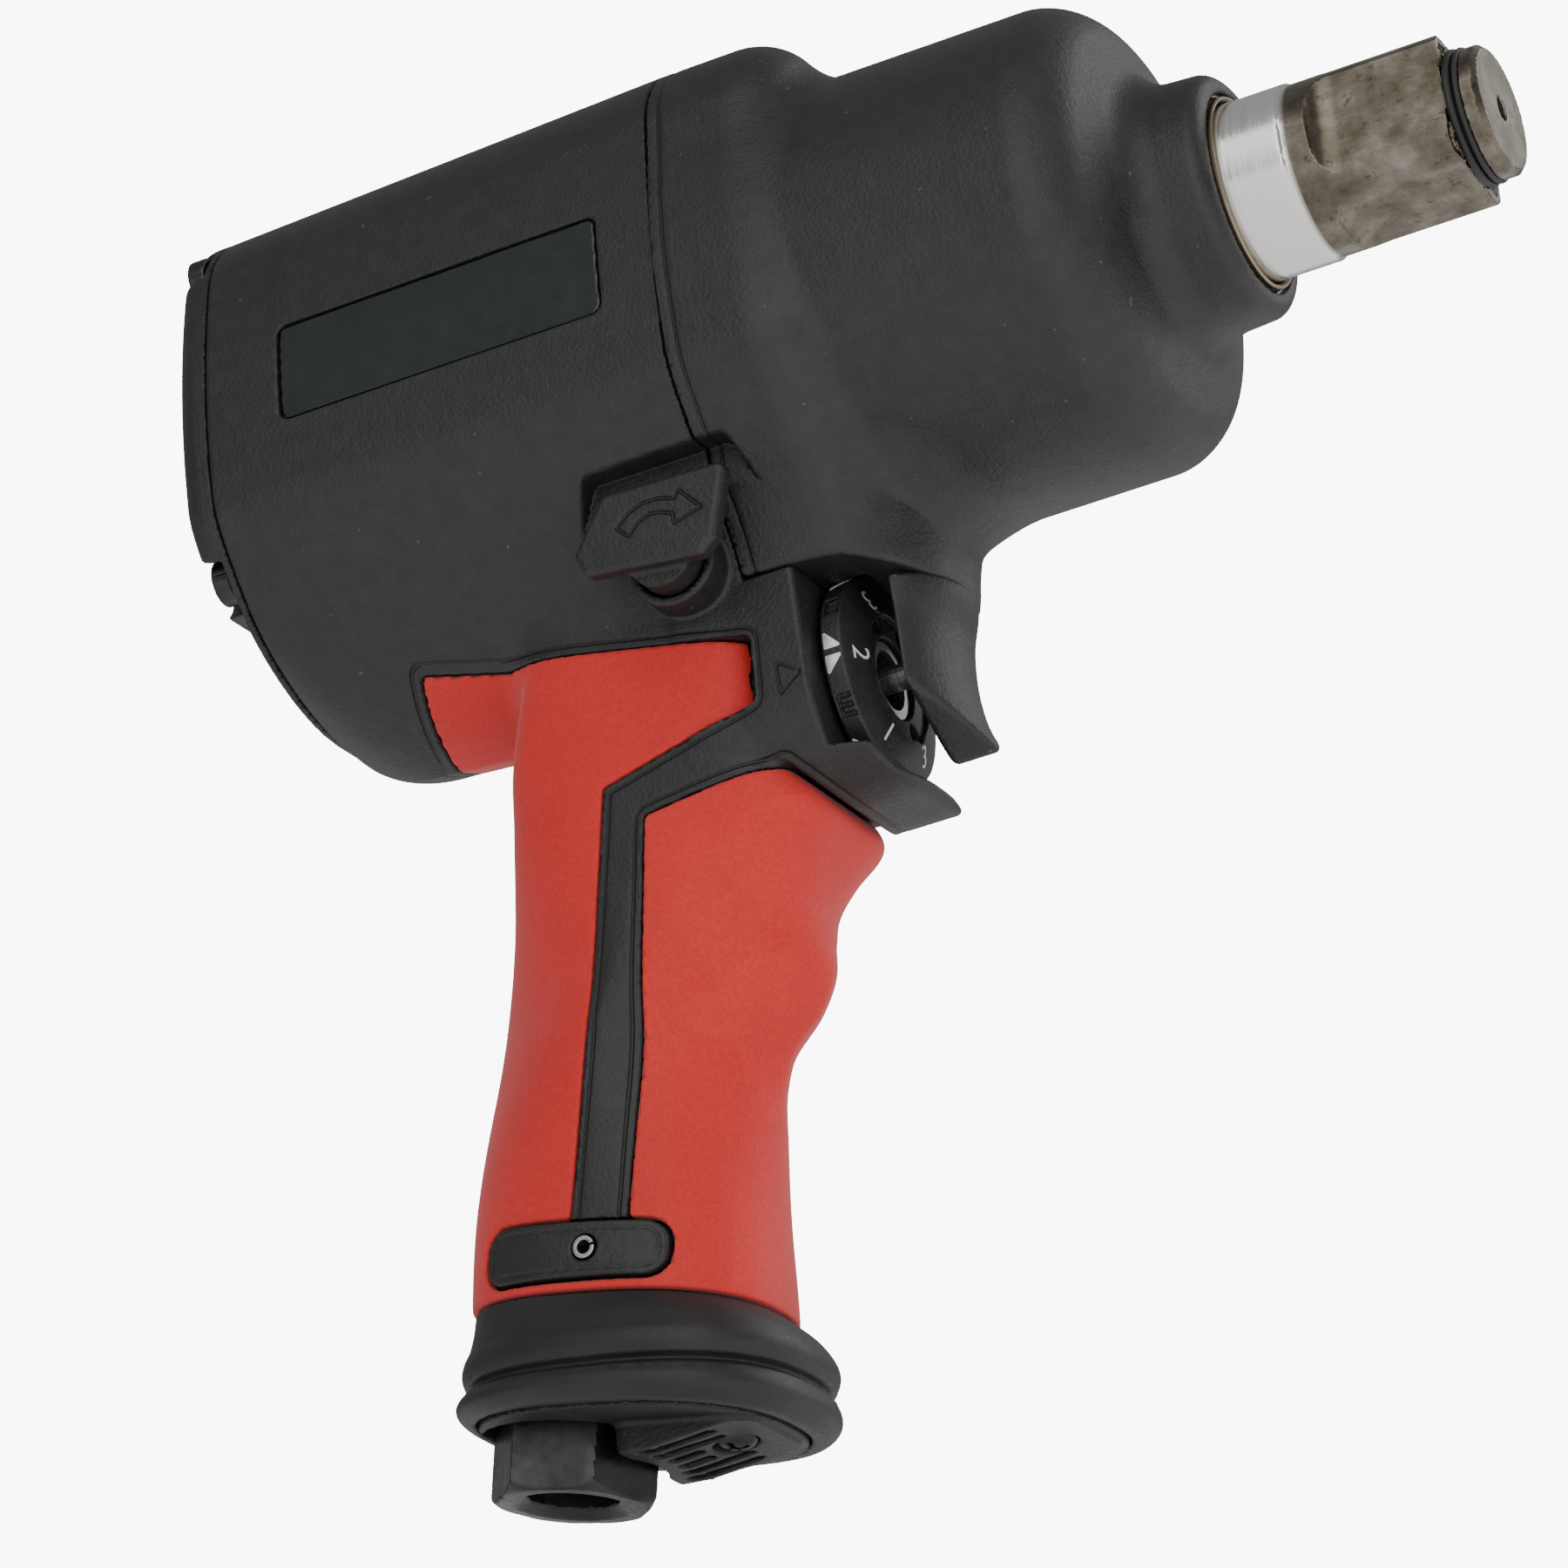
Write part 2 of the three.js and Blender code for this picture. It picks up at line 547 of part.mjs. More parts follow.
function exhaustCover() {
  const rim = gripLoft([[BASE_Z + 2, -26.5, 17.7, 18.5], [-165, -26.5, 17.7, 18.5]]);
  const plate = common(box(-40, 40, -30, 30, BASE_Z - 0.4, BASE_Z + 2), rim);
  const wedgePlan = blockXY(roundedRect(-3, 16, -9.6, 9.6, 5), -165, BASE_Z + 1);
  const wedge = common(plateXZ(EXHAUST, -30, 30), wedgePlan);
  const slots = [-6.6, -3.3, 0, 3.3, 6.6].map((y) => (
    box(1.4 + 0.5 * Math.abs(y), 10.4, y - 0.9, y + 0.9, -170, BASE_Z - 1)));
  const inside = [[1, BASE_Z + 3], [7.4, BASE_Z + 3], [7.4, -155], [3.6, -156.4], [1, -156.8]];
  const hollow = plateXZ(inside, -8, 8);
  const screwSeat = rodZ(-170, BASE_Z - 0.1, 3.2).translate(SCREW_X, 0, 0);
  const screwHole = rodZ(-170, -140, 1.7, 12).translate(SCREW_X, 0, 0);
  const inletHole = rodZ(-170, -140, 12.8, 24).translate(INLET_X, 0, 0);
  return cut(join(plate, wedge), ...slots, hollow, screwSeat, screwHole, inletHole);
}

function exhaustScrew() {
  const head = BASE_Z - 2.6;
  const body = turned([[head, 0], [head, 2.2], [head + 0.5, 3], [BASE_Z - GAP, 3], [BASE_Z - GAP, 1.4],
    [-144, 1.4], [-144, 0]], 16).rotateY(-Math.PI / 2);
  const across = box(-2, 2, -0.4, 0.4, head - 1, head + 0.9);
  return cut(body, across, across.clone().rotateZ(Math.PI / 2));
}

// Hexagon air inlet with a chamfered mouth and a round stem in the foot of the grip.
function inletBushing() {
  const hexRadius = INLET_FLATS / Math.sqrt(3);
  const hex = rodZ(INLET_Z, BASE_Z + 2.1, hexRadius, 6).rotateZ(10 * DEGREE);
  const trimmed = common(hex, turned([[INLET_Z, 0], [INLET_Z, hexRadius - 1.3], [INLET_Z + 1, hexRadius],
    [BASE_Z + 3, hexRadius], [BASE_Z + 3, 0]], 24).rotateY(-Math.PI / 2));
  const stem = rodZ(BASE_Z + 2, FOOT_Z - 1, 9.3, 24);
  const bore = turned([[INLET_Z - 1, 0], [INLET_Z - 1, 8.15], [INLET_Z + 0.9, 6.25], [FOOT_Z, 6.25],
    [FOOT_Z, 0]], 24).rotateY(-Math.PI / 2);
  return cut(join(trimmed, stem), bore);
}

// Cup-shaped air screen in the inlet passage.
function inletScreen() {
  return turned([[-138.2, 6.4], [-138.2, 7.6], [-124, 5.6], [-124, 0], [-124.8, 0], [-124.8, 4.6],
    [-138.2, 6.4]], 16).rotateY(-Math.PI / 2);
}

// ---------------------------------------------------------------- air motor

function motorCylinder() {
  const body = rod(-44.7, -9.3, CAVITY_R - GAP, 32);
  return cut(body, rod(-50, 0, CYLINDER_BORE, 32).translate(0, 0, CYLINDER_RISE));
}

function rearEndPlate() {
  const outer = CAVITY_R - GAP;
  return turned([[-55, 11], [-55, 21.7], [-50, 21.7], [-50, outer], [-45, outer], [-45, 6], [-48, 6],
    [-48, 11], [-55, 11]]);
}

function frontEndPlate() {
  return turned([[-9, 8], [-9, CAVITY_R - GAP], [1, CAVITY_R - GAP], [1, 14], [-6, 14], [-6, 8], [-9, 8]]);
}

// Rotor with six vane slots, a plain shaft behind and a splined shaft in front.
function rotor() {
  const body = turned([[-54, 0], [-54, 5], [-44.2, 5], [-44.2, ROTOR_R], [-9.8, ROTOR_R], [-9.8, 6.8],
    [2, 6.8], [2, 5.8], [13, 5.8], [13, 0]], 32);
  const slots = vaneAngles().map((angle) => (
    box(-45, -9, -1.8, 1.8, 8, 30).rotateX(angle)));
  const grooves = vaneAngles().map((angle) => box(2.2, 14, -0.9, 0.9, 4.7, 8).rotateX(angle));
  return cut(body, ...slots, ...grooves);
}

function vaneAngles() {
  return [0, 1, 2, 3, 4, 5].map((i) => (i / 6) * 2 * Math.PI);
}

function vane() {
  return box(-44, -10, -1.5, 1.5, 8.4, ROTOR_R + 0.3);
}

function bearing(x0, x1, outer, inner) {
  const dip = 0.5;
  return turned([[x0, inner], [x0, inner + 1.4], [x0 + dip, (inner + outer) / 2], [x0, outer - 1.4],
    [x0, outer], [x1, outer], [x1, inner], [x0, inner]]);
}

// ---------------------------------------------------------------- twin hammer mechanism

const PIN_R = 3.2;
const PIN_REACH = 22; // distance of the hammer pins from the barrel axis
const SHANK_R = 9;
const LUG_R = 12.4;

// Cage: two discs joined by two side webs, with holes for the spline, the anvil and the hammer pins.
function hammerCage() {
  const rear = rod(6.6, 12, HAMMER_R, 28);
  const front = rod(48, 53, HAMMER_R, 28);
  const webRing = tube(11, 49, HAMMER_R, 22.8, 28);
  const webs = [[-40, -5], [5, 40]].map(([y0, y1]) => common(webRing, box(10, 50, y0, y1, -9, 9)));
  const holes = [
    rod(5, 14, 6.2, 16),
    rod(40, 60, SHANK_R + 1, 24),
    ...[-1, 1].map((side) => rod(0, 60, PIN_R + GAP, 16).translate(0, 0, side * PIN_REACH)),
  ];
  return cut(join(rear, front, ...webs), ...holes);
}

// A rocking hammer: a ring that hangs on one pin and is notched to clear the other.
function hammer(x0, x1, side) {
  const ring = join(rod(x0, x1, 20.2, 28), rod(x0, x1, 5, 20).translate(0, 0, side * PIN_REACH));
  const bore = rod(x0 - 1, x1 + 1, 14.2, 28);
  const pinHole = rod(x0 - 1, x1 + 1, PIN_R + GAP, 16).translate(0, 0, side * PIN_REACH);
  const notch = rod(x0 - 1, x1 + 1, 5.4, 20).translate(0, 0, -side * PIN_REACH);
  return cut(ring, bore, pinHole, notch);
}

// ---------------------------------------------------------------- anvil

function anvil() {
  const turnedPart = turned([[14.5, 0], [14.5, SHANK_R], [53.6, SHANK_R], [53.6, 13.4], [58.4, 13.4],
    [58.4, 12.2], [64, 12.2], [64, JOURNAL_R], [89.8, JOURNAL_R], [90, 12.4], [112.9, 12.4], [112.9, 8.4],
    [115.4, 8.4], [115.4, 9.4], [TIP_X - 0.8, 9.4], [TIP_X, 8.6], [TIP_X, 0]], 32);
  const flats = [0, 1, 2, 3].map((i) => (
    box(JOURNAL_X, SQUARE_X + 0.1, -20, 20, SQUARE / 2, 30).rotateX(i * Math.PI / 2 - FLAT_TURN)));
  const lugs = [15.2, 32.6].map((x, i) => (
    barYZ([[-3, 0], [3, 0], [4, LUG_R - 1], [0, LUG_R], [-4, LUG_R - 1]], x, x + 12).rotateX(i * Math.PI)));
  const centre = turned([[TIP_X + 1, 0], [TIP_X + 1, 1.7], [TIP_X - 5, 1.5], [TIP_X - 6, 0]], 16);
  return cut(join(turnedPart, ...lugs), ...flats, centre);
}

// A round ring: a torus about the X axis.
function ringAt(x, radius, wire, segments = 24) {
  return closed(new THREE.TorusGeometry(radius, wire, 6, segments).rotateY(Math.PI / 2).translate(x, 0, 0));
}

// ---------------------------------------------------------------- trigger, valve and dial

const FRONT_FACE = [[30.2, -45.4], [28.8, -49.5], [28.2, -54], [28.2, -59], [28.9, -64], [30.2, -68]];

// Half oval in plan that bounds the trigger: front x, depth and half width.
function frontOval(front, depth, half) {
  const points = [];
  for (let i = 0; i <= 16; i += 1) {
    const angle = (i / 16 - 0.5) * Math.PI;
    points.push([front - depth + depth * Math.cos(angle), half * Math.sin(angle)]);
  }
  return blockXY(points, -80, -40);
}

// Bar whose underside is a blunt V, which gives the trigger its pointed lower end.
function pointedBar(rise) {
  const low = -69.3 + rise;
  const side = -57.6 + rise;
  return barYZ([[-13, -40], [-13, side], [-0.8, low], [0.8, low], [13, side], [13, -40]], 15, 35);
}

// Hollow trigger with a concave face and a socket for its stem.
function trigger() {
  const profile = [[23.7, -43.4], ...FRONT_FACE, [29.6, -69.2], [24.8, -69.4], [24.1, -66], [23.7, -58]];
  const inner = [[20, -46], [27.4, -47], [26, -54], [26, -59], [27, -66.4], [20, -67.2]];
  const hollow = common(common(plateXZ(inner, -20, 20), frontOval(28.4, 8.4, 10.6)), pointedBar(2.2));
  const outer = common(common(plateXZ(profile, -20, 20), frontOval(30.4, 9.5, 12.6)), pointedBar(0));
  const shell = cut(outer, hollow);
  const boss = rod(23.9, 27.4, 3.6, 16).translate(0, 0, DIAL.z);
  const socket = rod(20, 26.2, 1.9 + GAP, 16).translate(0, 0, DIAL.z);
  return cut(join(shell, boss), socket);
}

function regulatorDial() {
  const end = DIAL_THICK;
  const disc = turned([[0, 6], [0, DIAL_R - 0.6], [0.6, DIAL_R], [3, DIAL_R], [end, 9.8], [end, 9.2],
    [end - 0.8, 8.6], [end - 0.8, 6], [0, 6]], 32);
  const notches = [];
  for (let i = 0; i < 12; i += 1) {
    notches.push(box(0.4, 2.5, -0.8, 0.8, DIAL_R - 0.7, 20).rotateX((i + 0.5) * 30 * DEGREE));
  }
  return cut(disc, ...notches);
}

const BUSH_X = -16; // inner end of the throttle bush

// Bush of the throttle valve; its nose carries the dial.
function throttleBushing() {
  const profile = [
    [BUSH_X, 4.4], [BUSH_X, 7], [12.9, 7], [12.9, 5.7], [16.8, 5.7], [16.8, 4.4], [BUSH_X, 4.4],
  ];
  return turned(profile, 20);
}

function triggerStem() {
  return rod(BUSH_X + 0.4, 25.8, 1.9, 16);
}

function throttleValve() {
  const seat = BUSH_X - 0.3;
  return turned([[seat - 4.1, 0], [seat - 4.1, 5], [seat - 3.3, 5.6], [seat, 5.6], [seat, 2.2],
    [seat + 0.4, 2.2], [seat + 0.4, 0]], 16);
}

// Coil of the throttle spring, drawn at the length it has with the trigger pulled.
class Coil extends THREE.Curve {
  constructor(radius, length, turns) {
    super();
    this.radius = radius;
    this.length = length;
    this.turns = turns;
  }

  getPoint(t) {
    const angle = t * this.turns * 2 * Math.PI;
    const [y, z] = [this.radius * Math.cos(angle), this.radius * Math.sin(angle)];
    return new THREE.Vector3(this.length * t, y, z);
  }
}

function throttleSpring() {
  const wire = new THREE.Shape();
  wire.absarc(0, 0, 0.55, 0, 2 * Math.PI);
  const path = new Coil(4.6, 4, 3);
  return closed(new THREE.ExtrudeGeometry(wire, {
    steps: 30, curveSegments: 2, bevelEnabled: false, extrudePath: path }).translate(-30.2, 0, 0));
}

// Lever paddle with its round boss, on the side given, in the frame of the lever axis.
function reverseLever(side) {
  const paddle = [[-6.4, 9.9], [12.2, 9.4], [12.7, 8.6], [9.4, -1.3], [7, -3.2], [-10.2, -1], [-11.8, 2.4]];
  const [inner, outer] = [side * PADDLE_BACK, side * LEVER_FACE];
  const plate = plateXZ(paddle, Math.min(inner, outer), Math.max(inner, outer));
  const [bossStart, bossEnd] = [side * (LOW_HALF + GAP), side * (PADDLE_BACK + 1)];
  return join(plate, rodY(Math.min(bossStart, bossEnd), Math.max(bossStart, bossEnd), 4.9));
}

function reverseSpindle() {
  const bar = rodY(-LOW_HALF, LOW_HALF, 4.9);
  return cut(bar, box(-6, 6, -8, 8, 0.6, 6));
}

// ---------------------------------------------------------------- assembly

const BLACK = { color: 0x1d1d1f, roughness: 0.62, metalness: 0 };
const RUBBER = { color: 0x161617, roughness: 0.8, metalness: 0 };
const GLOSS = { color: 0x0c0f10, roughness: 0.18, metalness: 0 };
const SOFT_RED = { color: 0xc9322c, roughness: 0.7, metalness: 0 };
const STEEL = { color: 0xb9b4ab, roughness: 0.3, metalness: 1 };
const WORN_STEEL = { color: 0x8b8274, roughness: 0.4, metalness: 1 };
const DARK_STEEL = { color: 0x2b2b2c, roughness: 0.45, metalness: 1 };
const ALLOY = { color: 0xa4a6a8, roughness: 0.5, metalness: 1 };
const BRASS = { color: 0xb08d4f, roughness: 0.4, metalness: 1 };
const PAPER = { color: 0xb9a987, roughness: 0.9, metalness: 0 };

const tool = new THREE.Group();
const grip = new THREE.Group();
grip.rotation.y = LEAN;
const throttle = new THREE.Group();
throttle.position.set(0, 0, DIAL.z);
const lever = new THREE.Group();
lever.position.copy(LEVER);
tool.add(grip, throttle, lever);

function place(parent, name, geometry, finish) {
  const mesh = new THREE.Mesh(geometry, new THREE.MeshStandardMaterial(finish));
  mesh.name = name;
  parent.add(mesh);
  return mesh;
}

place(tool, 'motor_housing', motorHousing(), BLACK);
place(tool, 'rear_cover', rearCover(), BLACK);
place(tool, 'rear_gasket', tube(RIM_X + 0.1, RIM_X + 0.7, 29, 27.4), PAPER);
BOLTS.forEach(([y, z], i) => {
  place(tool, `cover_bolt_${i + 1}`, coverBolt(), DARK_STEEL).position.set(0, y, z);
});
place(tool, 'label_plate_near', labelPlate(LABEL_PLATE, GAP, 0.7, -1), GLOSS);
place(tool, 'label_plate_far', labelPlate(LABEL_PLATE, GAP, 0.7, 1), GLOSS);
place(tool, 'hammer_case_cover', hammerCaseCover(), BLACK);
place(tool, 'case_gasket', tube(SEAM_X - 0.5, SEAM_X + 0.3, 30.6, 27.4), PAPER);
place(tool, 'hammer_case', hammerCase(), ALLOY);
place(tool, 'anvil_bushing', tube(66.5, 80.9, 13.9, 13.1), BRASS);

place(tool, 'motor_cylinder', motorCylinder(), ALLOY);
place(tool, 'rear_end_plate', rearEndPlate(), ALLOY);
place(tool, 'front_end_plate', frontEndPlate(), ALLOY);
place(tool, 'rear_bearing', bearing(-54.8, -48.3, 10.7, 5.3), STEEL);
place(tool, 'front_bearing', bearing(-5.7, 0.8, 13.7, 7.1), STEEL);
place(tool, 'rotor', rotor(), STEEL);
vaneAngles().forEach((angle, i) => {
  place(tool, `vane_${i + 1}`, vane(), PAPER).rotation.x = angle;
});

place(tool, 'hammer_cage', hammerCage(), STEEL);
place(tool, 'hammer_rear', hammer(12.4, 29.8, 1), STEEL);
place(tool, 'hammer_front', hammer(30.2, 47.6, -1), STEEL);
place(tool, 'hammer_pin_1', rod(7, 52.6, PIN_R, 16), STEEL).position.z = PIN_REACH;
place(tool, 'hammer_pin_2', rod(7, 52.6, PIN_R, 16), STEEL).position.z = -PIN_REACH;
place(tool, 'anvil', anvil(), WORN_STEEL);
place(tool, 'drive_o_ring', ringAt(113.65, 9.3, 0.6), RUBBER);
place(tool, 'retaining_ring', ringAt(114.9, 9.3, 0.45), DARK_STEEL);

place(throttle, 'trigger', trigger().translate(0, 0, -DIAL.z), BLACK);
place(throttle, 'trigger_stem', triggerStem(), STEEL);
place(throttle, 'throttle_valve', throttleValve(), RUBBER);
place(throttle, 'throttle_bushing', throttleBushing(), STEEL);
place(throttle, 'throttle_spring', throttleSpring(), STEEL);
place(throttle, 'regulator_dial', regulatorDial(), BLACK).position.x = DIAL.x;

place(lever, 'reverse_spindle', reverseSpindle(), STEEL);
place(lever, 'reverse_lever_near', reverseLever(-1), BLACK);
place(lever, 'reverse_lever_far', reverseLever(1), BLACK);

place(tool, 'grip_overmold', gripOvermold(), SOFT_RED);
place(grip, 'badge_near', badge(-1), BLACK);
place(grip, 'badge_far', badge(1), BLACK);
const rollPin = cut(rodY(-18.8, 18.8, 1.6, 20), rodY(-20, 20, 1, 20));
place(grip, 'grip_pin', rollPin, STEEL).position.set(PIN_X, 0, PIN_Z);
place(grip, 'base_ring', baseRing(), RUBBER);
place(grip, 'exhaust_cover', exhaustCover(), BLACK);
place(grip, 'exhaust_screw', exhaustScrew(), DARK_STEEL).position.x = SCREW_X;
place(grip, 'muffler_felt', rodZ(-142, -122, 5.8), PAPER).position.x = MUFFLER_X;
place(grip, 'inlet_bushing', inletBushing(), DARK_STEEL).position.x = INLET_X;
place(grip, 'inlet_screen', inletScreen(), STEEL).position.x = INLET_X;

// The origin goes under the middle of the tool, at its lowest point.
const bounds = new THREE.Box3().setFromObject(tool, true);
tool.position.set(-(bounds.min.x + bounds.max.x) / 2, 0, -bounds.min.z);

export default tool;
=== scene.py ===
"""Looks of an air impact wrench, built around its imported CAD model.

The organic pieces are signed distance functions of the tool's own frame in millimetres (+X towards the
drive, +Z up, the barrel axis at y = z = 0). Each one is turned into a mesh, and its points are then moved
onto the exact surface.
"""

import math

import bpy
import bmesh
import numpy as np
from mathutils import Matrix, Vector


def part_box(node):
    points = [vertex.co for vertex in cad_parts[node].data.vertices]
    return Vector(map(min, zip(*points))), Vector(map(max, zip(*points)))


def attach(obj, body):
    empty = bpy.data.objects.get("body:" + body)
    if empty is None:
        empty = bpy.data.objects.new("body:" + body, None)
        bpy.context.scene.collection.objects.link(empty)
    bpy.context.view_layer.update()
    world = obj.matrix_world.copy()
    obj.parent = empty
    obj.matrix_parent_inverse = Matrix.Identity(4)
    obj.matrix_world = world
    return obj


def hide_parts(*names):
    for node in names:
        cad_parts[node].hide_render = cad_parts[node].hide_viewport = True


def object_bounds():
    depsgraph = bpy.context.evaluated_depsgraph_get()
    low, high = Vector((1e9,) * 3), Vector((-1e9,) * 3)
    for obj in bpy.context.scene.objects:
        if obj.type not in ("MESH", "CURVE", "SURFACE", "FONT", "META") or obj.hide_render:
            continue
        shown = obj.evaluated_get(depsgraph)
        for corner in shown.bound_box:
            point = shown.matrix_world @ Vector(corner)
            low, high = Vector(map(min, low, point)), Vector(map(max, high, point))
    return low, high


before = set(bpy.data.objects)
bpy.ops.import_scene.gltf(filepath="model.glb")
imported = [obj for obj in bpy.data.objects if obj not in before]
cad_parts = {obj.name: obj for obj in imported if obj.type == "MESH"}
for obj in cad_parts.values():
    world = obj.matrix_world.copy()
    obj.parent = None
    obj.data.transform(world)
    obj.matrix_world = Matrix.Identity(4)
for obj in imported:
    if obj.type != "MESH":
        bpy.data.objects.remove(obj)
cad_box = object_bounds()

import openvdb
from mathutils import Matrix, Vector

MM = 0.001
TIP_X = 118.0
anvil_low, anvil_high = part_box("anvil")
ORIGIN = Vector((anvil_high.x - TIP_X * MM, 0.0, (anvil_low.z + anvil_high.z) / 2))

# ---------------------------------------------------------------- dimensions, in millimetres

REAR_X = -71.4
RIM_X = -66.2
SEAM_X = 5.0
HALF_WIDTH = 35.1  # of the barrel, reached at the height WIDEST_Z
WIDEST_Z = -15.0
TOP_Z = 38.75
CASE_R = 33.8
NOSE_X = 80.5
NOSE_R = 17.6
LEAN = math.radians(11.7)
COS, SIN = math.cos(LEAN), math.sin(LEAN)
FOOT_Z = -138.0  # where the red grip meets the boot
BASE_Z = -154.0  # underside of the boot
INLET_Z = -163.3
INLET_X = -14.6
SKIN = 2.2  # thickness of the red overmould
POCKET_FLOOR = 24.8  # how far from the middle plane the lever pockets start
CAVITY_R = 27.0
CHAMBER_R, CHAMBER_X = 7.3, -31.2  # throttle chamber and its inner end
DIAL_X, DIAL_Z, DIAL_R, DIAL_THICK = 13.4, -53.7, 15.0, 4.9
LEVER_X, LEVER_Z, LEVER_FACE = -2.7, -37.8, 30.6
PIN_X, PIN_Z = -5.5, -132.2
SCREW_X = 9.6
SQUARE = 19.05
FLAT_TURN = math.radians(6.7)


# ---------------------------------------------------------------- distance function helpers

def round_max(a, b, r):
    """Common part of two solids, its edge rounded by r."""
    return np.minimum(-r, np.maximum(a, b)) + np.hypot(np.maximum(a + r, 0), np.maximum(b + r, 0))


def round_min(a, b, r):
    """Union of two solids, the corner between them filled by a fillet of radius r."""
    return np.maximum(r, np.minimum(a, b)) - np.hypot(np.maximum(r - a, 0), np.maximum(r - b, 0))


def cut(a, b, r=0.3):
    """Solid a without solid b."""
    return round_max(a, -b, r)


def curve(points):
    """Smooth function through (place, value) points."""
    k, v = np.array(points, float).T
    slope = np.gradient(v, k)

    def at(t):
        t = np.clip(t, k[0], k[-1])
        i = np.clip(np.searchsorted(k, t) - 1, 0, len(k) - 2)
        w = k[i + 1] - k[i]
        s = (t - k[i]) / w
        rise = (3 - 2 * s) * s * s
        return (v[i] * (1 - rise) + v[i + 1] * rise
                + w * s * (1 - s) * (slope[i] * (1 - s) - slope[i + 1] * s))
    return at


def polygon(points, a, b):
    """Signed distance to a polygon in the plane of a and b."""
    pts = np.array(points, float)
    best = np.full(a.shape, 1e9)
    inside = np.zeros(a.shape, bool)
    for (x0, y0), (x1, y1) in zip(np.roll(pts, 1, axis=0), pts):
        dx, dy = x1 - x0, y1 - y0
        t = np.clip(((a - x0) * dx + (b - y0) * dy) / (dx * dx + dy * dy), 0, 1)
        best = np.minimum(best, np.hypot(a - x0 - t * dx, b - y0 - t * dy))
        crosses = (y0 > b) != (y1 > b)
        with np.errstate(divide="ignore", invalid="ignore"):
            inside ^= crosses & (a < (b - y0) * dx / (dy if dy else 1e-9) + x0)
    return np.where(inside, -best, best)


def grown(points, distance):
    """A polygon (clockwise seen with a to the right and b up) with every side moved out."""
    pts = np.array(points, float)
    before, after = pts - np.roll(pts, 1, axis=0), np.roll(pts, -1, axis=0) - pts
    before /= np.linalg.norm(before, axis=1)[:, None]
    after /= np.linalg.norm(after, axis=1)[:, None]
    mitre = before + after
    mitre /= np.linalg.norm(mitre, axis=1)[:, None]
    reach = distance / np.maximum(0.5, (mitre * before).sum(1))
    return pts + np.stack([-mitre[:, 1], mitre[:, 0]], 1) * reach[:, None]


def rounded_polygon(points, a, b, r):
    """The same with its outward corners rounded by r."""
    return polygon(grown(points, -r), a, b) - r


def to_grip(p):
    """Points of the tool's frame in the frame of the leaning grip."""
    x, y, z = p
    return COS * x - SIN * z, y, SIN * x + COS * z


# ---------------------------------------------------------------- meshing

def gradient(field, pts, step=0.04):
    corners = np.array([(1, -1, -1), (-1, -1, 1), (-1, 1, -1), (1, 1, 1)], float)
    total = np.zeros_like(pts)
    for corner in corners:
        total += corner * field((pts + step * corner).T)[:, None]
    return total / (4 * step)


def place_points(pts):
    return pts * MM + np.array(ORIGIN)


def mesh_field(name, field, low, high, voxel, marks=None):
    """Object of the surface where the field is zero, inside a box.

    marks is a signed distance function. Its value at each point goes with the mesh, so that a material can
    draw a fine groove where it is zero, darkened there as painted shade.
    """
    low, high = np.array(low, float), np.array(high, float)
    block = 4
    blocks = np.ceil((high - low) / (voxel * block)).astype(int) + 1
    size = block * voxel
    grid = np.stack(np.meshgrid(*[np.arange(n) for n in blocks], indexing="ij"), -1).reshape(-1, 3)
    centres = low + (grid + 0.5) * size - voxel / 2
    coarse = field(centres.T)
    values = np.repeat(np.repeat(np.repeat(
        np.where(coarse > 0, 3 * voxel, -3 * voxel).reshape(blocks).astype(np.float32),
        block, 0), block, 1), block, 2)
    near = grid[np.abs(coarse) < size * 2.2]
    inner = np.stack(np.meshgrid(*[np.arange(block)] * 3, indexing="ij"), -1).reshape(-1, 3)
    for start in range(0, len(near), 6000):
        cells = (near[start:start + 6000, None] * block + inner[None]).reshape(-1, 3)
        found = field((low + cells * voxel).T)
        values[cells[:, 0], cells[:, 1], cells[:, 2]] = np.clip(found, -3 * voxel, 3 * voxel)
    volume = openvdb.FloatGrid(3 * voxel)
    volume.copyFromArray(values)
    pts, _, quads = volume.convertToPolygons(isovalue=0.0, adaptivity=0.0)
    pts = low + pts.astype(float) * voxel
    for _ in range(3):
        slope = gradient(field, pts)
        steep = np.maximum((slope ** 2).sum(1), 0.2)
        move = np.clip(field(pts.T) / steep, -0.6 * voxel, 0.6 * voxel)
        pts -= move[:, None] * slope
    normals = gradient(field, pts)
    normals /= np.maximum(np.linalg.norm(normals, axis=1), 1e-9)[:, None]
    mesh = bpy.data.meshes.new(name)
    mesh.from_pydata(place_points(pts).tolist(), [], quads.tolist())
    mesh.shade_smooth()
    mesh.normals_split_custom_set_from_vertices(normals.tolist())
    if marks:
        distance = marks(pts.T).astype(np.float32)
        mesh.attributes.new("mark", "FLOAT", "POINT").data.foreach_set("value", distance)
    return link(name, mesh)


def link(name, mesh):
    piece = bpy.data.objects.new(name, mesh)
    bpy.context.scene.collection.objects.link(piece)
    return piece


# ---------------------------------------------------------------- body shapes

def body(p):
    """Barrel section of the housing, without its rear and front ends."""
    x, y, z = p
    rise = np.maximum(0, z - WIDEST_Z)
    under = np.maximum(0, WIDEST_Z + 4 - z)
    bow = np.interp(x, [RIM_X, SEAM_X], [0.0044, 0.0029])
    side = HALF_WIDTH - bow * rise ** 2 - 0.72 * (np.hypot(under, 6.5) - 5.9)
    lean = np.hypot(1, 2 * bow * rise + 0.72 * under / np.hypot(under, 6.5))
    flank = (np.abs(y) - side) / lean
    return round_max(flank, z - TOP_Z - 0.006 * (x - SEAM_X), 14)


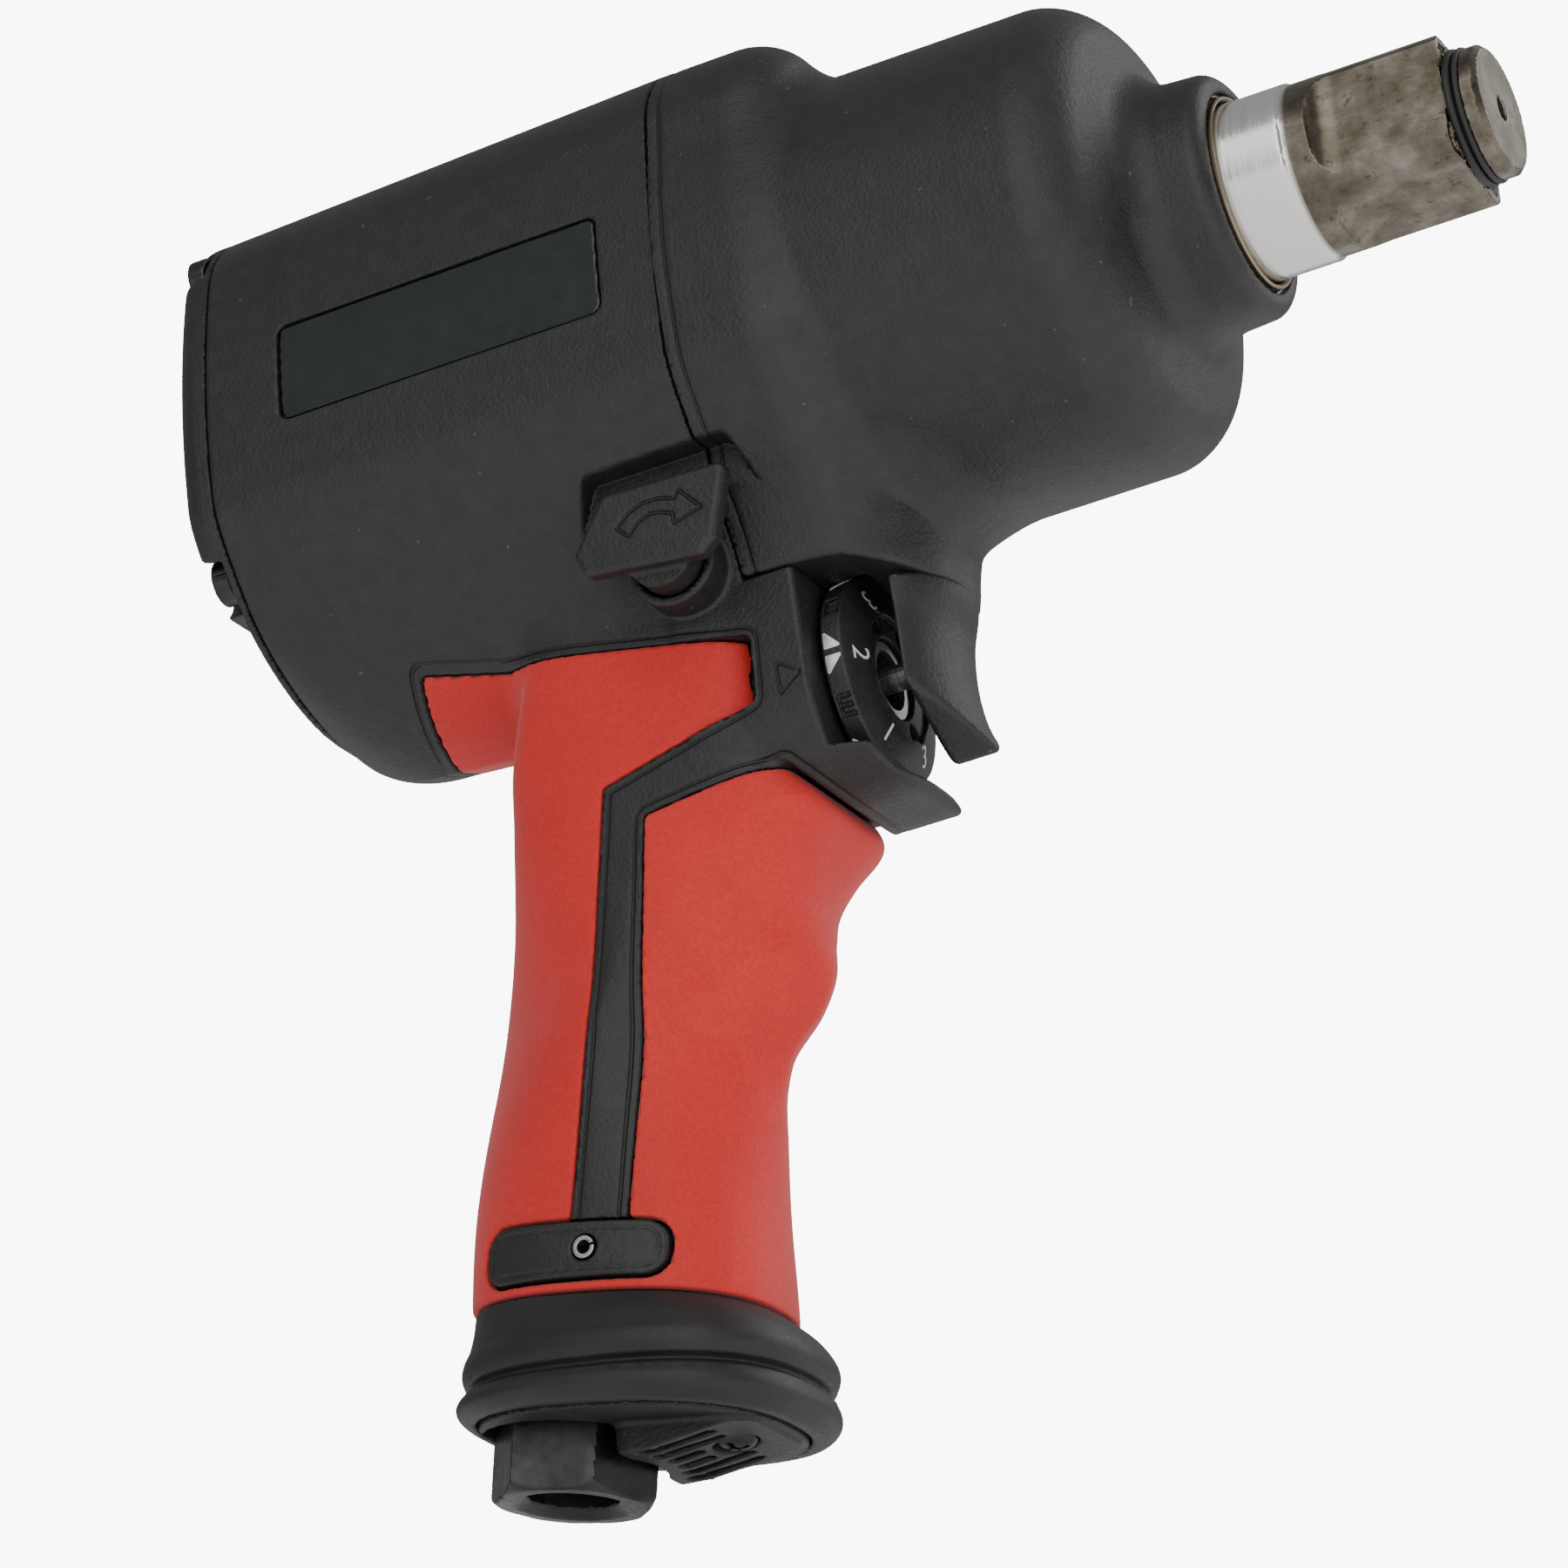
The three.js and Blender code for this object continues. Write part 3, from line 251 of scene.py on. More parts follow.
def belly(p):
    """Lower limit of the barrel: a round rear corner and a nearly level bottom."""
    behind = np.clip(-52 - p[0], 0, 14.3)
    bottom = -31.2 - np.sqrt(256 - behind ** 2) - 0.1 * np.maximum(0, p[0] + 52)
    return bottom - p[2]


GRIP_BACK = curve([(-138, -28.6), (-123, -29.6), (-113, -29.7), (-101.5, -29.1), (-90.5, -28.2),
                   (-80, -26.5), (-69.5, -25), (-62, -24.5), (-42, -22)])
GRIP_FRONT = curve([(-138, 15.6), (-123, 14.2), (-113, 14.1), (-106, 14.2), (-101.5, 15.3), (-95.5, 19.4),
                    (-90.5, 20.8), (-85, 19.9), (-80, 19.3), (-75, 20.6), (-69.5, 23.2), (-64, 19.4),
                    (-58, 17), (-42, 15)])
GRIP_HALF = curve([(-138, 18.4), (-123, 18), (-101.5, 17.8), (-80, 17.9), (-70, 18.4), (-60, 19),
                   (-42, 19.2)])
GRIP_POWER = curve([(-138, 2.5), (-78, 2.5), (-64, 4.5), (-42, 5)])


def oval(x, y, back, front, half, power):
    """Distance to a superellipse in the plane of x and y."""
    a, middle = (front - back) / 2, (front + back) / 2
    u, v = np.abs(x - middle), np.abs(y)
    reach = ((u / a) ** power + (v / half) ** power + 1e-9) ** (1 / power)
    return np.hypot(u, v) * (1 - 1 / reach)


def grip(p):
    x, y, z = to_grip(p)
    side = oval(x, y, GRIP_BACK(z), GRIP_FRONT(z), GRIP_HALF(z), GRIP_POWER(z))
    return np.maximum(side, z + 30)


def barrel(p):
    shape = round_max(body(p), belly(p), 14)
    return np.maximum(round_max(shape, RIM_X - p[0], 0.6), p[0] - SEAM_X)


def hull(p):
    """Outer surface of housing and overmould together, behind the seam."""
    return round_min(barrel(p), grip(p), 4.5)


CHIN = [(-6, -36), (12.6, -36), (12.6, -66.9), (18.2, -67.8), (19.8, -70.9), (21.7, -71.2), (21.9, -72),
        (20.6, -73.2), (12.4, -73.9), (10.6, -73), (5.8, -67.8), (-6, -62)]


def chin(p):
    """Cheeks and lip in front of the grip, which cup the dial."""
    x, y, z = p
    outline = rounded_polygon(CHIN, x, z, 0.5)
    section = round_max(np.abs(y) - 19.2, -73.3 - z, 16)
    plan = x - (22.2 - 0.018 * y * y)
    shape = round_max(round_max(outline, section, 0.8), plan, 0.8)
    return np.maximum(shape, np.minimum(0.3 - red_region(p), np.abs(y) - 15.8))


def dial_room(p):
    x, y, z = p
    return np.maximum(np.hypot(y, z - DIAL_Z) - DIAL_R - 0.4, np.abs(x - 16) - 3.2)


RED = [(-37, -47.6), (14.6, -47.6), (16, -56.8), (-6.8, -67.3), (-8.2, -131), (0.4, -131), (-0.2, -71.7),
       (19.8, -65.1), (25.4, -69.4), (40, -80), (40, FOOT_Z - 3), (-50, FOOT_Z - 3), (-50, -64),
       (-39.6, -56.6), (-37.8, -50.4)]
BADGE = [(-21.6, -128.4), (6, -128.6), (6, -136.2), (-21.6, -136.4)]


def badge_region(p):
    x, _, z = to_grip(p)
    return rounded_polygon(BADGE, x, z, 3.2)


def red_region(p):
    x, _, z = to_grip(p)
    return cut(rounded_polygon(RED, x, z, 1.0), badge_region(p) - 0.5, 0.6)


def pin_bore(p):
    x, _, z = to_grip(p)
    return np.hypot(x - PIN_X, z - PIN_Z) - 1.9


POCKET = [(-13.8, -8), (-13.8, 3.5), (-9.6, 14.2), (12.4, 14.2), (15, 6), (14.5, -8)]


def lever_room(p):
    x, y, z = p
    u, v = x - LEVER_X, z - LEVER_Z
    outline = rounded_polygon(POCKET, u, v, 1.6)
    return np.maximum(outline, POCKET_FLOOR - np.abs(y))


def label_recess(p, depth):
    """Rounded rectangle in the barrel side, down to a depth below its surface."""
    outline = round_max(np.abs(p[0] + 29) - 25.5, np.abs(p[2] - 5) - 7.8, 1.6)
    return np.maximum(outline, -(body(p) + depth))


def line(distance, width=0.3, depth=0.35):
    """Depth of a fine groove along the place where a distance is zero."""
    return depth * np.exp(-(distance / width) ** 2)


def pointer(p):
    """Outline of the small triangle that marks the dial's setting, on both sides."""
    return polygon([(8.2, -54.6), (8.2, -59.4), (11.6, -57)], p[0], p[2])


BORDER = 1.3  # distance of the moulded line from the red panels


def housing(p):
    """Black composite body: barrel, neck, chin and the core under the overmould."""
    x, y, z = p
    outer = round_min(hull(p), chin(p), 1.5)
    region = red_region(p)
    gx, _, gz = to_grip(p)
    shape = outer + line(region - BORDER, 0.5, 0.08)
    shape = cut(shape, np.maximum(region - 0.15, -(outer + SKIN + 0.3)), 0.2)
    foot = np.maximum(oval(gx, y, -26, 12.6, 15.8, 2.5), np.maximum(gz + 130, BASE_Z + 2.5 - gz))
    shape = np.minimum(np.maximum(shape, FOOT_Z - gz), foot)
    shape = round_max(shape, np.minimum(x - SEAM_X, z + 41.4), 0.25)
    shape = cut(shape, dial_room(p), 0.3)
    shape = cut(shape, lever_room(p), 0.6)
    collar = np.hypot(x - LEVER_X, z - LEVER_Z) - 6.5
    shape = round_min(shape, round_max(collar, np.abs(y) - POCKET_FLOOR, 0.6), 0.6)
    shape = cut(shape, label_recess(p, 1.3), 0.3)
    shape = cut(shape, np.maximum(badge_region(p) - 0.35, -(grip(p) + 2.0)), 0.3)
    shape = cut(shape, np.hypot(y, z) - CAVITY_R, 0.2)
    shape = cut(shape, np.maximum(np.hypot(y, z - DIAL_Z) - CHAMBER_R, CHAMBER_X - x), 0.2)
    shape = cut(shape, np.maximum(np.hypot(gx - INLET_X, y) - 9.6, gz + 62), 0.2)
    shape = cut(shape, np.hypot(x - LEVER_X, z - LEVER_Z) - 5.3, 0.2)
    return cut(shape, pin_bore(p), 0.2)


def housing_marks(p):
    """Fine moulded lines, drawn as grooves with painted shade: a border round the red panels and the pointer
    of the dial.
    """
    border = red_region(p) - BORDER
    mark = np.where(np.abs(p[1]) > 12, pointer(p), 9)
    return np.where(np.abs(border) < np.abs(mark), border, mark)


def case_marks(p):
    """Fine line just in front of the seam."""
    return p[0] - SEAM_X - 2.2


def lever_marks(p):
    """Outline of the arrow on the paddle's face."""
    outline = polygon(ARROW, p[0] - LEVER_X, p[2] - LEVER_Z)
    return np.where(np.abs(p[1]) > LEVER_FACE - 0.5, outline, 9)


def overmould(p):
    """Red soft grip: a skin over the housing's core."""
    outer = hull(p)
    region = red_region(p)
    gz = to_grip(p)[2]
    skin = round_max(outer, region, 0.4)
    skin = cut(skin, outer + SKIN, 0.2)
    skin = round_max(skin, FOOT_Z - gz, 0.5)
    inside = np.maximum(np.hypot(p[1], p[2] - DIAL_Z) - 9, -33 - p[0])
    skin = cut(skin, inside, 0.2)
    skin = cut(skin, np.maximum(chin(p) - 0.3, np.abs(p[1]) - 15.6), 0.2)
    return cut(skin, pin_bore(p), 0.2)


def skirt(p):
    """Front of the case above the trigger."""
    x, y, z = p
    front = curve([(-46, 29.2), (-42.6, 29.4), (-37, 30.5), (-33.5, 32.3), (-31, 35.4), (-20, 41)])(z)
    block = round_max(np.abs(y) - 18.2, (x - front) / 1.25, 15)
    return np.maximum(block, z + 15)


def case_cover(p):
    """Hammer case cover: square at the seam, round over the hammers, with a skirt and a nose."""
    x, y, z = p
    r = np.hypot(y, z)
    cylinder = r - CASE_R
    cone = ((x - 67) * 8.5 + (r - 27) * 3) / 9.01
    round_part = round_max(cylinder, cone, 6.5)
    round_part = np.maximum(round_part, 6 - x)
    nose = round_max(r - (NOSE_R + 0.06 * (NOSE_X - x)), x - NOSE_X, 2.5)
    nose = np.maximum(nose, 60 - x)
    square = round_max(round_max(body(p), -47 - z, 6), x - 25.5, 9)
    outer = round_min(square, round_part, 3.5)
    outer = np.maximum(outer, np.maximum(np.abs(y) - HALF_WIDTH, z - TOP_Z))
    outer = round_min(outer, skirt(p), 5)
    outer = round_min(outer, nose, 3.5)
    outer = round_max(outer, SEAM_X + 0.2 - x, 0.25)
    under = np.interp(x, [0, 19.4, 31.6, 60], [-40.6, -41.5, -44.9, -44.9])
    outer = round_max(outer, under - z, 0.8)
    outer = outer + line(x - SEAM_X - 2.2, 0.5, 0.12)
    outer = cut(outer, lever_room(p), 0.6)
    outer = cut(outer, dial_room(p), 0.3)
    outer = cut(outer, np.maximum(r - 31.2, x - 58), 0.2)
    return cut(outer, np.maximum(r - 14.4, -x), 0.3)


BOLTS = [(-26, -20.2), (26, -20.2), (-22, 28.5), (22, 28.5)]
BOLT_SEAT = RIM_X - 1.3


def rear_cover(p):
    """Cover plate at the back, with a round pocket for each bolt and a step below them."""
    x, y, z = p
    shape = round_max(round_max(body(p), belly(p), 14), REAR_X - x, 3.5)
    shape = round_max(shape, x - RIM_X + 0.12, 0.12)
    step = np.maximum(x - BOLT_SEAT, z + 24.6)
    shape = cut(shape, step, 0.5)
    for bolt_y, bolt_z in BOLTS:
        out = np.array((math.copysign(1, bolt_y), math.copysign(1, bolt_z))) / math.sqrt(2)
        along = np.maximum(0, (y - bolt_y) * out[0] + (z - bolt_z) * out[1])
        pocket = np.hypot(y - bolt_y - along * out[0], z - bolt_z - along * out[1]) - 4.4
        shape = cut(shape, np.maximum(pocket, x - BOLT_SEAT), 0.5)
    return shape


BASE_BACK = curve([(-154, -27.6), (-153, -28.7), (-149.2, -28.8), (-148.6, -28.4), (-148.2, -27.5),
                   (-147.6, -27.5), (-147.2, -28.3), (-146.6, -28.7), (-144, -28.8), (-142.8, -28.4),
                   (-141, -28), (-138.3, -28)])
BASE_FRONT = curve([(-154, 20.2), (-153, 21.3), (-149.2, 21.4), (-148.6, 21), (-148.2, 20.1), (-147.6, 20.1),
                    (-147.2, 20.9), (-146.6, 21.2), (-144, 21.3), (-142.8, 20.6), (-141, 19), (-138.3, 15.2)])
BASE_HALF = curve([(-154, 20.4), (-153, 21.5), (-149.2, 21.7), (-148.6, 21.3), (-148.2, 20.4), (-147.6, 20.4),
                   (-147.2, 21.1), (-146.6, 21.4), (-144, 21.4), (-142.8, 20.8), (-141, 19.9),
                   (-138.3, 18.2)])


def base_ring(p):
    """Rubber boot with two ribs round the foot of the grip."""
    x, y, z = to_grip(p)
    tilted = z + 0.039 * (20 - x) * np.interp(z, [-154, -150, -144, FOOT_Z], [0, 1, 1, 0])
    side = oval(x, y, BASE_BACK(tilted), BASE_FRONT(tilted), BASE_HALF(tilted), 2.5)
    ring = round_max(side, np.maximum(z - FOOT_Z + 0.3, BASE_Z - z), 0.4)
    ring = cut(ring, np.maximum(oval(x, y, -26.3, 12.9, 16.1, 2.5), z + 130), 0.3)
    recess = oval(x, y, -26.8, 18, 18.8, 2.5)
    return cut(ring, np.maximum(recess, z - BASE_Z - 2.6), 0.4)


EXHAUST = [(-12, BASE_Z + 2), (20, BASE_Z + 2), (20, BASE_Z - 0.4), (13, -155.2), (1.5, -158.2),
           (-3.4, -158.8), (-4.6, BASE_Z - 0.4), (-12, BASE_Z - 0.4)]


def exhaust_cover(p):
    """Cover plate in the foot, with a slotted wedge beside the inlet."""
    x, y, z = to_grip(p)
    plate = np.maximum(oval(x, y, -26.5, 17.7, 18.5, 2.5), np.abs(z - BASE_Z - 0.8) - 1.2)
    plan = round_max(np.abs(y) - 9.8, np.abs(x - 5.2) - 11, 4.5)
    wedge = np.maximum(rounded_polygon(EXHAUST, x, z, 0.6), plan)
    shape = round_min(plate, wedge, 0.8)
    for slot_y in (-7.6, -4.6, -1.6, 1.6, 4.6, 7.6):
        start, end = -0.3 * abs(slot_y) + 1, 5.8 if abs(slot_y) < 4 else 10
        slot = round_max(np.abs(y - slot_y) - 0.85, np.abs(x - (start + end) / 2) - (end - start) / 2, 0.75)
        shape = cut(shape, np.maximum(slot, z - BASE_Z + 1), 0.2)
    shape = cut(shape, np.maximum(np.hypot(x - SCREW_X, y) - 3.2, z - BASE_Z + 0.1), 0.3)
    shape = cut(shape, np.hypot(x - SCREW_X, y) - 1.7, 0.1)
    return cut(shape, np.hypot(x - INLET_X, y) - 12.8, 0.3)


def trigger(p):
    """Curved hollow trigger with a concave face."""
    x, y, z = p
    front = curve([(-69.6, 31.6), (-68, 31), (-64, 29.3), (-59, 28.2), (-54, 28), (-49.5, 28.6), (-45.4, 30),
                   (-43.4, 30.3)])(z)
    depth, half = front - 20.8, 12.6
    u, v = np.maximum(x - 20.8, 0) / depth, np.abs(y) / half
    reach = np.sqrt(u * u + v * v + 1e-9)
    face = (reach - 1) * np.hypot(np.maximum(x - 20.8, 0), y) / reach
    slant = np.interp(z, [-69.4, -66, -58, -43.4], [24, 23.7, 23.4, 23.4])
    shell = round_max(face, slant - x, 0.5)
    keel = (0.82 * np.sqrt(y * y + 1) - 69.6 - z) / 1.29
    shell = round_max(shell, np.maximum(keel, z + 43.4), 1.0)
    hollow = np.maximum(face + 2, np.maximum(keel + 1.7, z + 46))
    shell = cut(shell, hollow, 0.4)
    boss = np.maximum(np.hypot(y, z - DIAL_Z) - 3.6, np.maximum(23.9 - x, x - 27.4))
    return round_min(shell, boss, 0.5)


PADDLE = [(-6.4, 9.9), (12.6, 9.4), (9.3, -1.3), (7, -3.2), (-10.4, -1), (-11.8, 2.4)]


ARROW = [(-3.15, 2.64), (-4.77, 4.28), (-2.9, 5.9), (-0.67, 6.75), (1.9, 6.75), (4.3, 6), (5.1, 7.1),
         (8.06, 3.53), (3.8, 2.4), (3.82, 3.91), (2.2, 4.6), (0.3, 4.9), (-1.6, 4.2)]


def lever(side):
    """Reverse paddle on one side, with its boss and an arrow."""
    def field(p):
        x, y, z = p
        u, v, w = x - LEVER_X, z - LEVER_Z, side * y
        outline = rounded_polygon(PADDLE, u, v, 1.2)
        shape = round_max(outline, np.maximum(w - LEVER_FACE, LEVER_FACE - 3.2 - w), 0.9)
        shape = shape + np.where(w > LEVER_FACE - 2, line(polygon(ARROW, u, v), 0.3, 0.15), 0)
        boss = np.maximum(np.hypot(u, v) - 4.9, np.maximum(w - LEVER_FACE + 2.4, 19.8 - w))
        return round_min(shape, boss, 0.8)
    return field


# Radius of the anvil along its axis: (x, radius).
ANVIL_STEPS = [(14.5, 9), (53.5, 9), (53.7, 13.4), (58.4, 13.4), (58.5, 12.2), (63.9, 12.2), (64, 12.8),
               (89.8, 12.8), (90.3, 12.4), (112.9, 12.4), (113, 8.4), (115.3, 8.4), (115.4, 9.4),
               (117.2, 9.4), (118, 8.6)]


def anvil(p):
    """Square drive with rounded run-outs, journal and tip disc."""
    x, y, z = p
    r = np.hypot(y, z)
    profile = np.interp(x, *np.array(ANVIL_STEPS).T)
    shape = np.maximum(r - profile, np.maximum(14.5 - x, x - TIP_X))
    c, s = math.cos(-FLAT_TURN), math.sin(-FLAT_TURN)
    a, b = np.abs(c * y + s * z), np.abs(-s * y + c * z)
    run = np.maximum(0, 97.5 - x)
    widen = 4.0 - np.sqrt(np.maximum(0, 16 - np.minimum(run, 4) ** 2))
    square = round_max(a - SQUARE / 2 - widen, b - SQUARE / 2 - widen, 1.2)
    square = np.where((x > 93.4) & (x < 113.0), square, -9)
    shape = np.maximum(shape, square)
    centre = r - np.clip(1.7 - (TIP_X - 5 - x) * 0.6, 0, 1.7)
    return cut(shape, np.maximum(centre, 112 - x), 0.15)


def inlet(p):
    """Blackened hexagon inlet with a chamfered mouth."""
    x, y, z = to_grip(p)
    u, v = x - INLET_X, y
    r = np.hypot(u, v)
    turn = np.radians(10)
    hexagon = np.full(r.shape, -1e3)
    for k in range(6):
        angle = turn + math.radians(30 + 60 * k)
        hexagon = np.maximum(hexagon, u * math.cos(angle) + v * math.sin(angle) - 10.25)
    cone = (r - 10.6 + (INLET_Z - z) * 1.2) * 0.64
    head = round_max(round_max(hexagon, cone, 0.3), np.maximum(INLET_Z - z, z - BASE_Z - 2.1), 0.3)
    stem = np.maximum(r - 9.3, np.maximum(BASE_Z + 1 - z, z - FOOT_Z + 1))
    shape = np.minimum(head, stem)
    bore = r - np.maximum(6.25, 8.15 - 1.6 * (z - INLET_Z))
    return cut(shape, bore, 0.2)


def label_plate(side):
    """Blank plate let into one side of the barrel."""
    def field(p):
        u, v = np.abs(p[0] + 29) - 25.2, np.abs(p[2] - 5) - 7.5
        outline = round_max(u, v, 1.3)
        depth = body(p)
        return round_max(round_max(outline, depth + 0.35, 0.15), np.maximum(-1.2 - depth, -side * p[1]), 0.1)
    return field


def badge(side):
    """Blank badge on one side of the grip."""
    def field(p):
        depth = grip(p)
        plate = round_max(badge_region(p), depth - 0.4, 0.35)
        plate = np.maximum(plate, np.maximum(-1.7 - depth, -side * p[1]))
        return cut(plate + line(badge_region(p) + 1.1, 0.25, 0.2), pin_bore(p), 0.2)
    return field


def cover_bolt(bolt_y, bolt_z):
    """Socket head cap screw."""
    def field(p):
        x, y, z = p[0] - BOLT_SEAT + 0.3, p[1] - bolt_y, p[2] - bolt_z
        r = np.hypot(y, z)
        knurl = 0.06 * np.cos(36 * np.arctan2(z, y)) * np.clip((x + 2.3) / 0.4, 0, 1)
        head = round_max(r - 3.4 + np.maximum(knurl, 0), np.maximum(-2.7 - x, x), 0.35)
        socket = np.full(r.shape, -9.0)
        for k in range(6):
            socket = np.maximum(socket, y * math.cos(k * math.pi / 3) + z * math.sin(k * math.pi / 3) - 1.45)
        head = cut(head, np.maximum(socket, x + 1.2), 0.08)
        return np.minimum(head, np.maximum(r - 2, np.maximum(-x - 0.2, x - 26)))
    return field


def exhaust_screw(p):
    x, y, z = to_grip(p)
    u, w = x - SCREW_X, z - BASE_Z
    r = np.hypot(u, y)
    dome = np.hypot(r, np.maximum(0, -w - 0.9) * 1.6) - 3
    head = np.maximum(dome, np.maximum(w + 0.3, -2.6 - w))
    cross = np.maximum(np.minimum(np.maximum(np.abs(u) - 0.45, np.abs(y) - 1.9),
                                  np.maximum(np.abs(y) - 0.45, np.abs(u) - 1.9)), w + 1.3)
    return np.minimum(cut(head, cross, 0.1), np.maximum(r - 1.4, np.maximum(-w - 0.4, w - 10)))


def grip_pin(p):
    """Rolled spring pin with its slit."""
    x, y, z = to_grip(p)
    u, v = x - PIN_X, z - PIN_Z
    r = np.hypot(u, v)
    wall = round_max(np.abs(r - 1.28) - 0.32, np.abs(y) - 18.8, 0.12)
    return cut(wall, np.maximum(np.abs(v - 0.3 * u) - 0.16, -u), 0.08)


CONE_X = 3.0
CONE_TURN = Vector((5.2, 1.9)).normalized()


def regulator_dial(p):
    """Power dial: disc with a conical face, groups of grip notches on its rim and a recessed hub."""
    x, y, z = p[0] - DIAL_X, p[1], p[2] - DIAL_Z
    r = np.hypot(y, z)
    disc = round_max(r - DIAL_R, np.maximum(-x, x - DIAL_THICK), 0.3)
    disc = round_max(disc, (x - CONE_X) * CONE_TURN.x + (r - DIAL_R) * CONE_TURN.y, 0.3)
    angle = np.degrees(np.arctan2(z, -y))
    along = np.radians((angle % 60) - 30) * DIAL_R
    bars = np.minimum(np.abs(along), np.abs(np.abs(along) - 1.35)) - 0.33
    notch = np.maximum(np.maximum(bars, np.abs(x - 1.65) - 1.0), DIAL_R - 0.55 - r)
    spine = np.maximum(np.maximum(np.abs(along) - 1.68, np.abs(x - 0.75) - 0.22), DIAL_R - 0.55 - r)
    disc = cut(disc, np.minimum(notch, spine), 0.12)
    disc = cut(disc, np.maximum(r - 9.0, DIAL_THICK - 0.8 - x), 0.25)
    scallop = np.hypot(r - 8.1, np.radians(((np.degrees(np.arctan2(z, y)) + 30) % 60) - 30) * 8.1) - 1.5
    disc = cut(disc, np.maximum(scallop, DIAL_THICK - 2.2 - x), 0.2)
    return cut(disc, r - 6, 0.2)


# ---------------------------------------------------------------- materials

class Material:
    """A node material in metres of the object's own coordinates."""

    def __init__(self, name):
        self.material = bpy.data.materials.new(name)
        self.material.use_nodes = True
        self.nodes = self.material.node_tree.nodes
        self.links = self.material.node_tree.links
        self.shader = self.nodes["Principled BSDF"]
        self.coordinate = self.nodes.new("ShaderNodeTexCoord").outputs["Object"]

    def link(self, source, target):
        self.links.new(source, target)

    def stretched(self, scale):
        node = self.nodes.new("ShaderNodeMapping")
        node.inputs["Scale"].default_value = scale
        self.link(self.coordinate, node.inputs["Vector"])
        return node.outputs["Vector"]

    def noise(self, scale, detail=3.0, rough=0.55, vector=None):
        node = self.nodes.new("ShaderNodeTexNoise")
        node.inputs["Scale"].default_value = scale
        node.inputs["Detail"].default_value = detail
        node.inputs["Roughness"].default_value = rough
        self.link(vector or self.coordinate, node.inputs["Vector"])
        return node.outputs["Fac"]

    def cells(self, scale):
        node = self.nodes.new("ShaderNodeTexVoronoi")
        node.inputs["Scale"].default_value = scale
        self.link(self.coordinate, node.inputs["Vector"])
        return node.outputs["Distance"]

    def ramp(self, value, stops):
        node = self.nodes.new("ShaderNodeValToRGB")
        elements = node.color_ramp.elements
        while len(elements) < len(stops):
            elements.new(0.5)
        for element, (place, colour) in zip(elements, stops):
            element.position = place
            element.color = (*colour, 1)
        self.link(value, node.inputs["Fac"])
        return node.outputs["Color"]

    def range(self, value, low, high, from_low=0.3, from_high=0.7):
        node = self.nodes.new("ShaderNodeMapRange")
        node.inputs["From Min"].default_value = from_low
        node.inputs["From Max"].default_value = from_high
        node.inputs["To Min"].default_value = low
        node.inputs["To Max"].default_value = high
        self.link(value, node.inputs["Value"])
        return node.outputs["Result"]

    def mix(self, factor, a, b):
        node = self.nodes.new("ShaderNodeMix")
        node.data_type = "RGBA"
        self.link(factor, node.inputs["Factor"])
        for colour, slot in ((a, "A"), (b, "B")):
            socket = [i for i in node.inputs if i.name == slot and i.type == "RGBA"][0]
            if isinstance(colour, tuple):
                socket.default_value = (*colour, 1)
            else:
                self.link(colour, socket)
        return [o for o in node.outputs if o.type == "RGBA"][0]

    def math(self, operation, a, b):
        node = self.nodes.new("ShaderNodeMath")
        node.operation = operation
        for socket, value in zip(node.inputs, (a, b)):
            if isinstance(value, (int, float)):
                socket.default_value = value
            else:
                self.link(value, socket)
        return node.outputs["Value"]

    def bump(self, height, distance, strength=1.0):
        node = self.nodes.new("ShaderNodeBump")
        node.inputs["Distance"].default_value = distance
        node.inputs["Strength"].default_value = strength
        self.link(height, node.inputs["Height"])
        self.link(node.outputs["Normal"], self.shader.inputs["Normal"])

    def set(self, socket, value):
        if isinstance(value, (int, float, tuple)):
            self.shader.inputs[socket].default_value = (*value, 1) if isinstance(value, tuple) else value
        else:
            self.link(value, self.shader.inputs[socket])


def composite(name="black_composite", dark=0.0085, light=0.014, grain=2300, marked=False):
    """Black glass-filled plastic with a fine leathery grain, faint smears and pale dust in the grain."""
    m = Material(name)
    fine, broad = m.noise(grain, 2, 0.55), m.noise(35, 3)
    colour = m.ramp(m.noise(350, 4), [(0.35, (dark * 1.04, dark, dark)), (0.7, (light * 1.04, light, light))])
    dust = m.ramp(m.noise(900, 0, 0.4), [(0.86, (0, 0, 0)), (0.88, (1, 1, 1))])
    colour = m.mix(dust, colour, (0.05, 0.05, 0.05))
    height = m.math("ADD", fine, m.math("MULTIPLY", m.cells(1500), 0.6))
    if marked:
        attribute = m.nodes.new("ShaderNodeAttribute")
        attribute.attribute_name = "mark"
        signed = attribute.outputs["Fac"]
        distance = m.math("MAXIMUM", signed, m.math("MULTIPLY", signed, -1.0))
        groove_and_shade = m.range(distance, 1, 0, 0.10, 0.34)
        # Painted shade: the colour in the moulded lines is darkened to near black, along with the real bump
        # of the groove.
        colour = m.mix(groove_and_shade, colour, (0.002, 0.002, 0.002))
        height = m.math("SUBTRACT", height, m.math("MULTIPLY", groove_and_shade, 3.0))
    m.set("Base Color", colour)
    m.set("Roughness", m.math("ADD", m.range(broad, 0.47, 0.52), m.range(fine, -0.04, 0.05)))
    m.set("Specular IOR Level", 0.5)
    m.bump(height, 0.00008, 1.0)
    return m.material


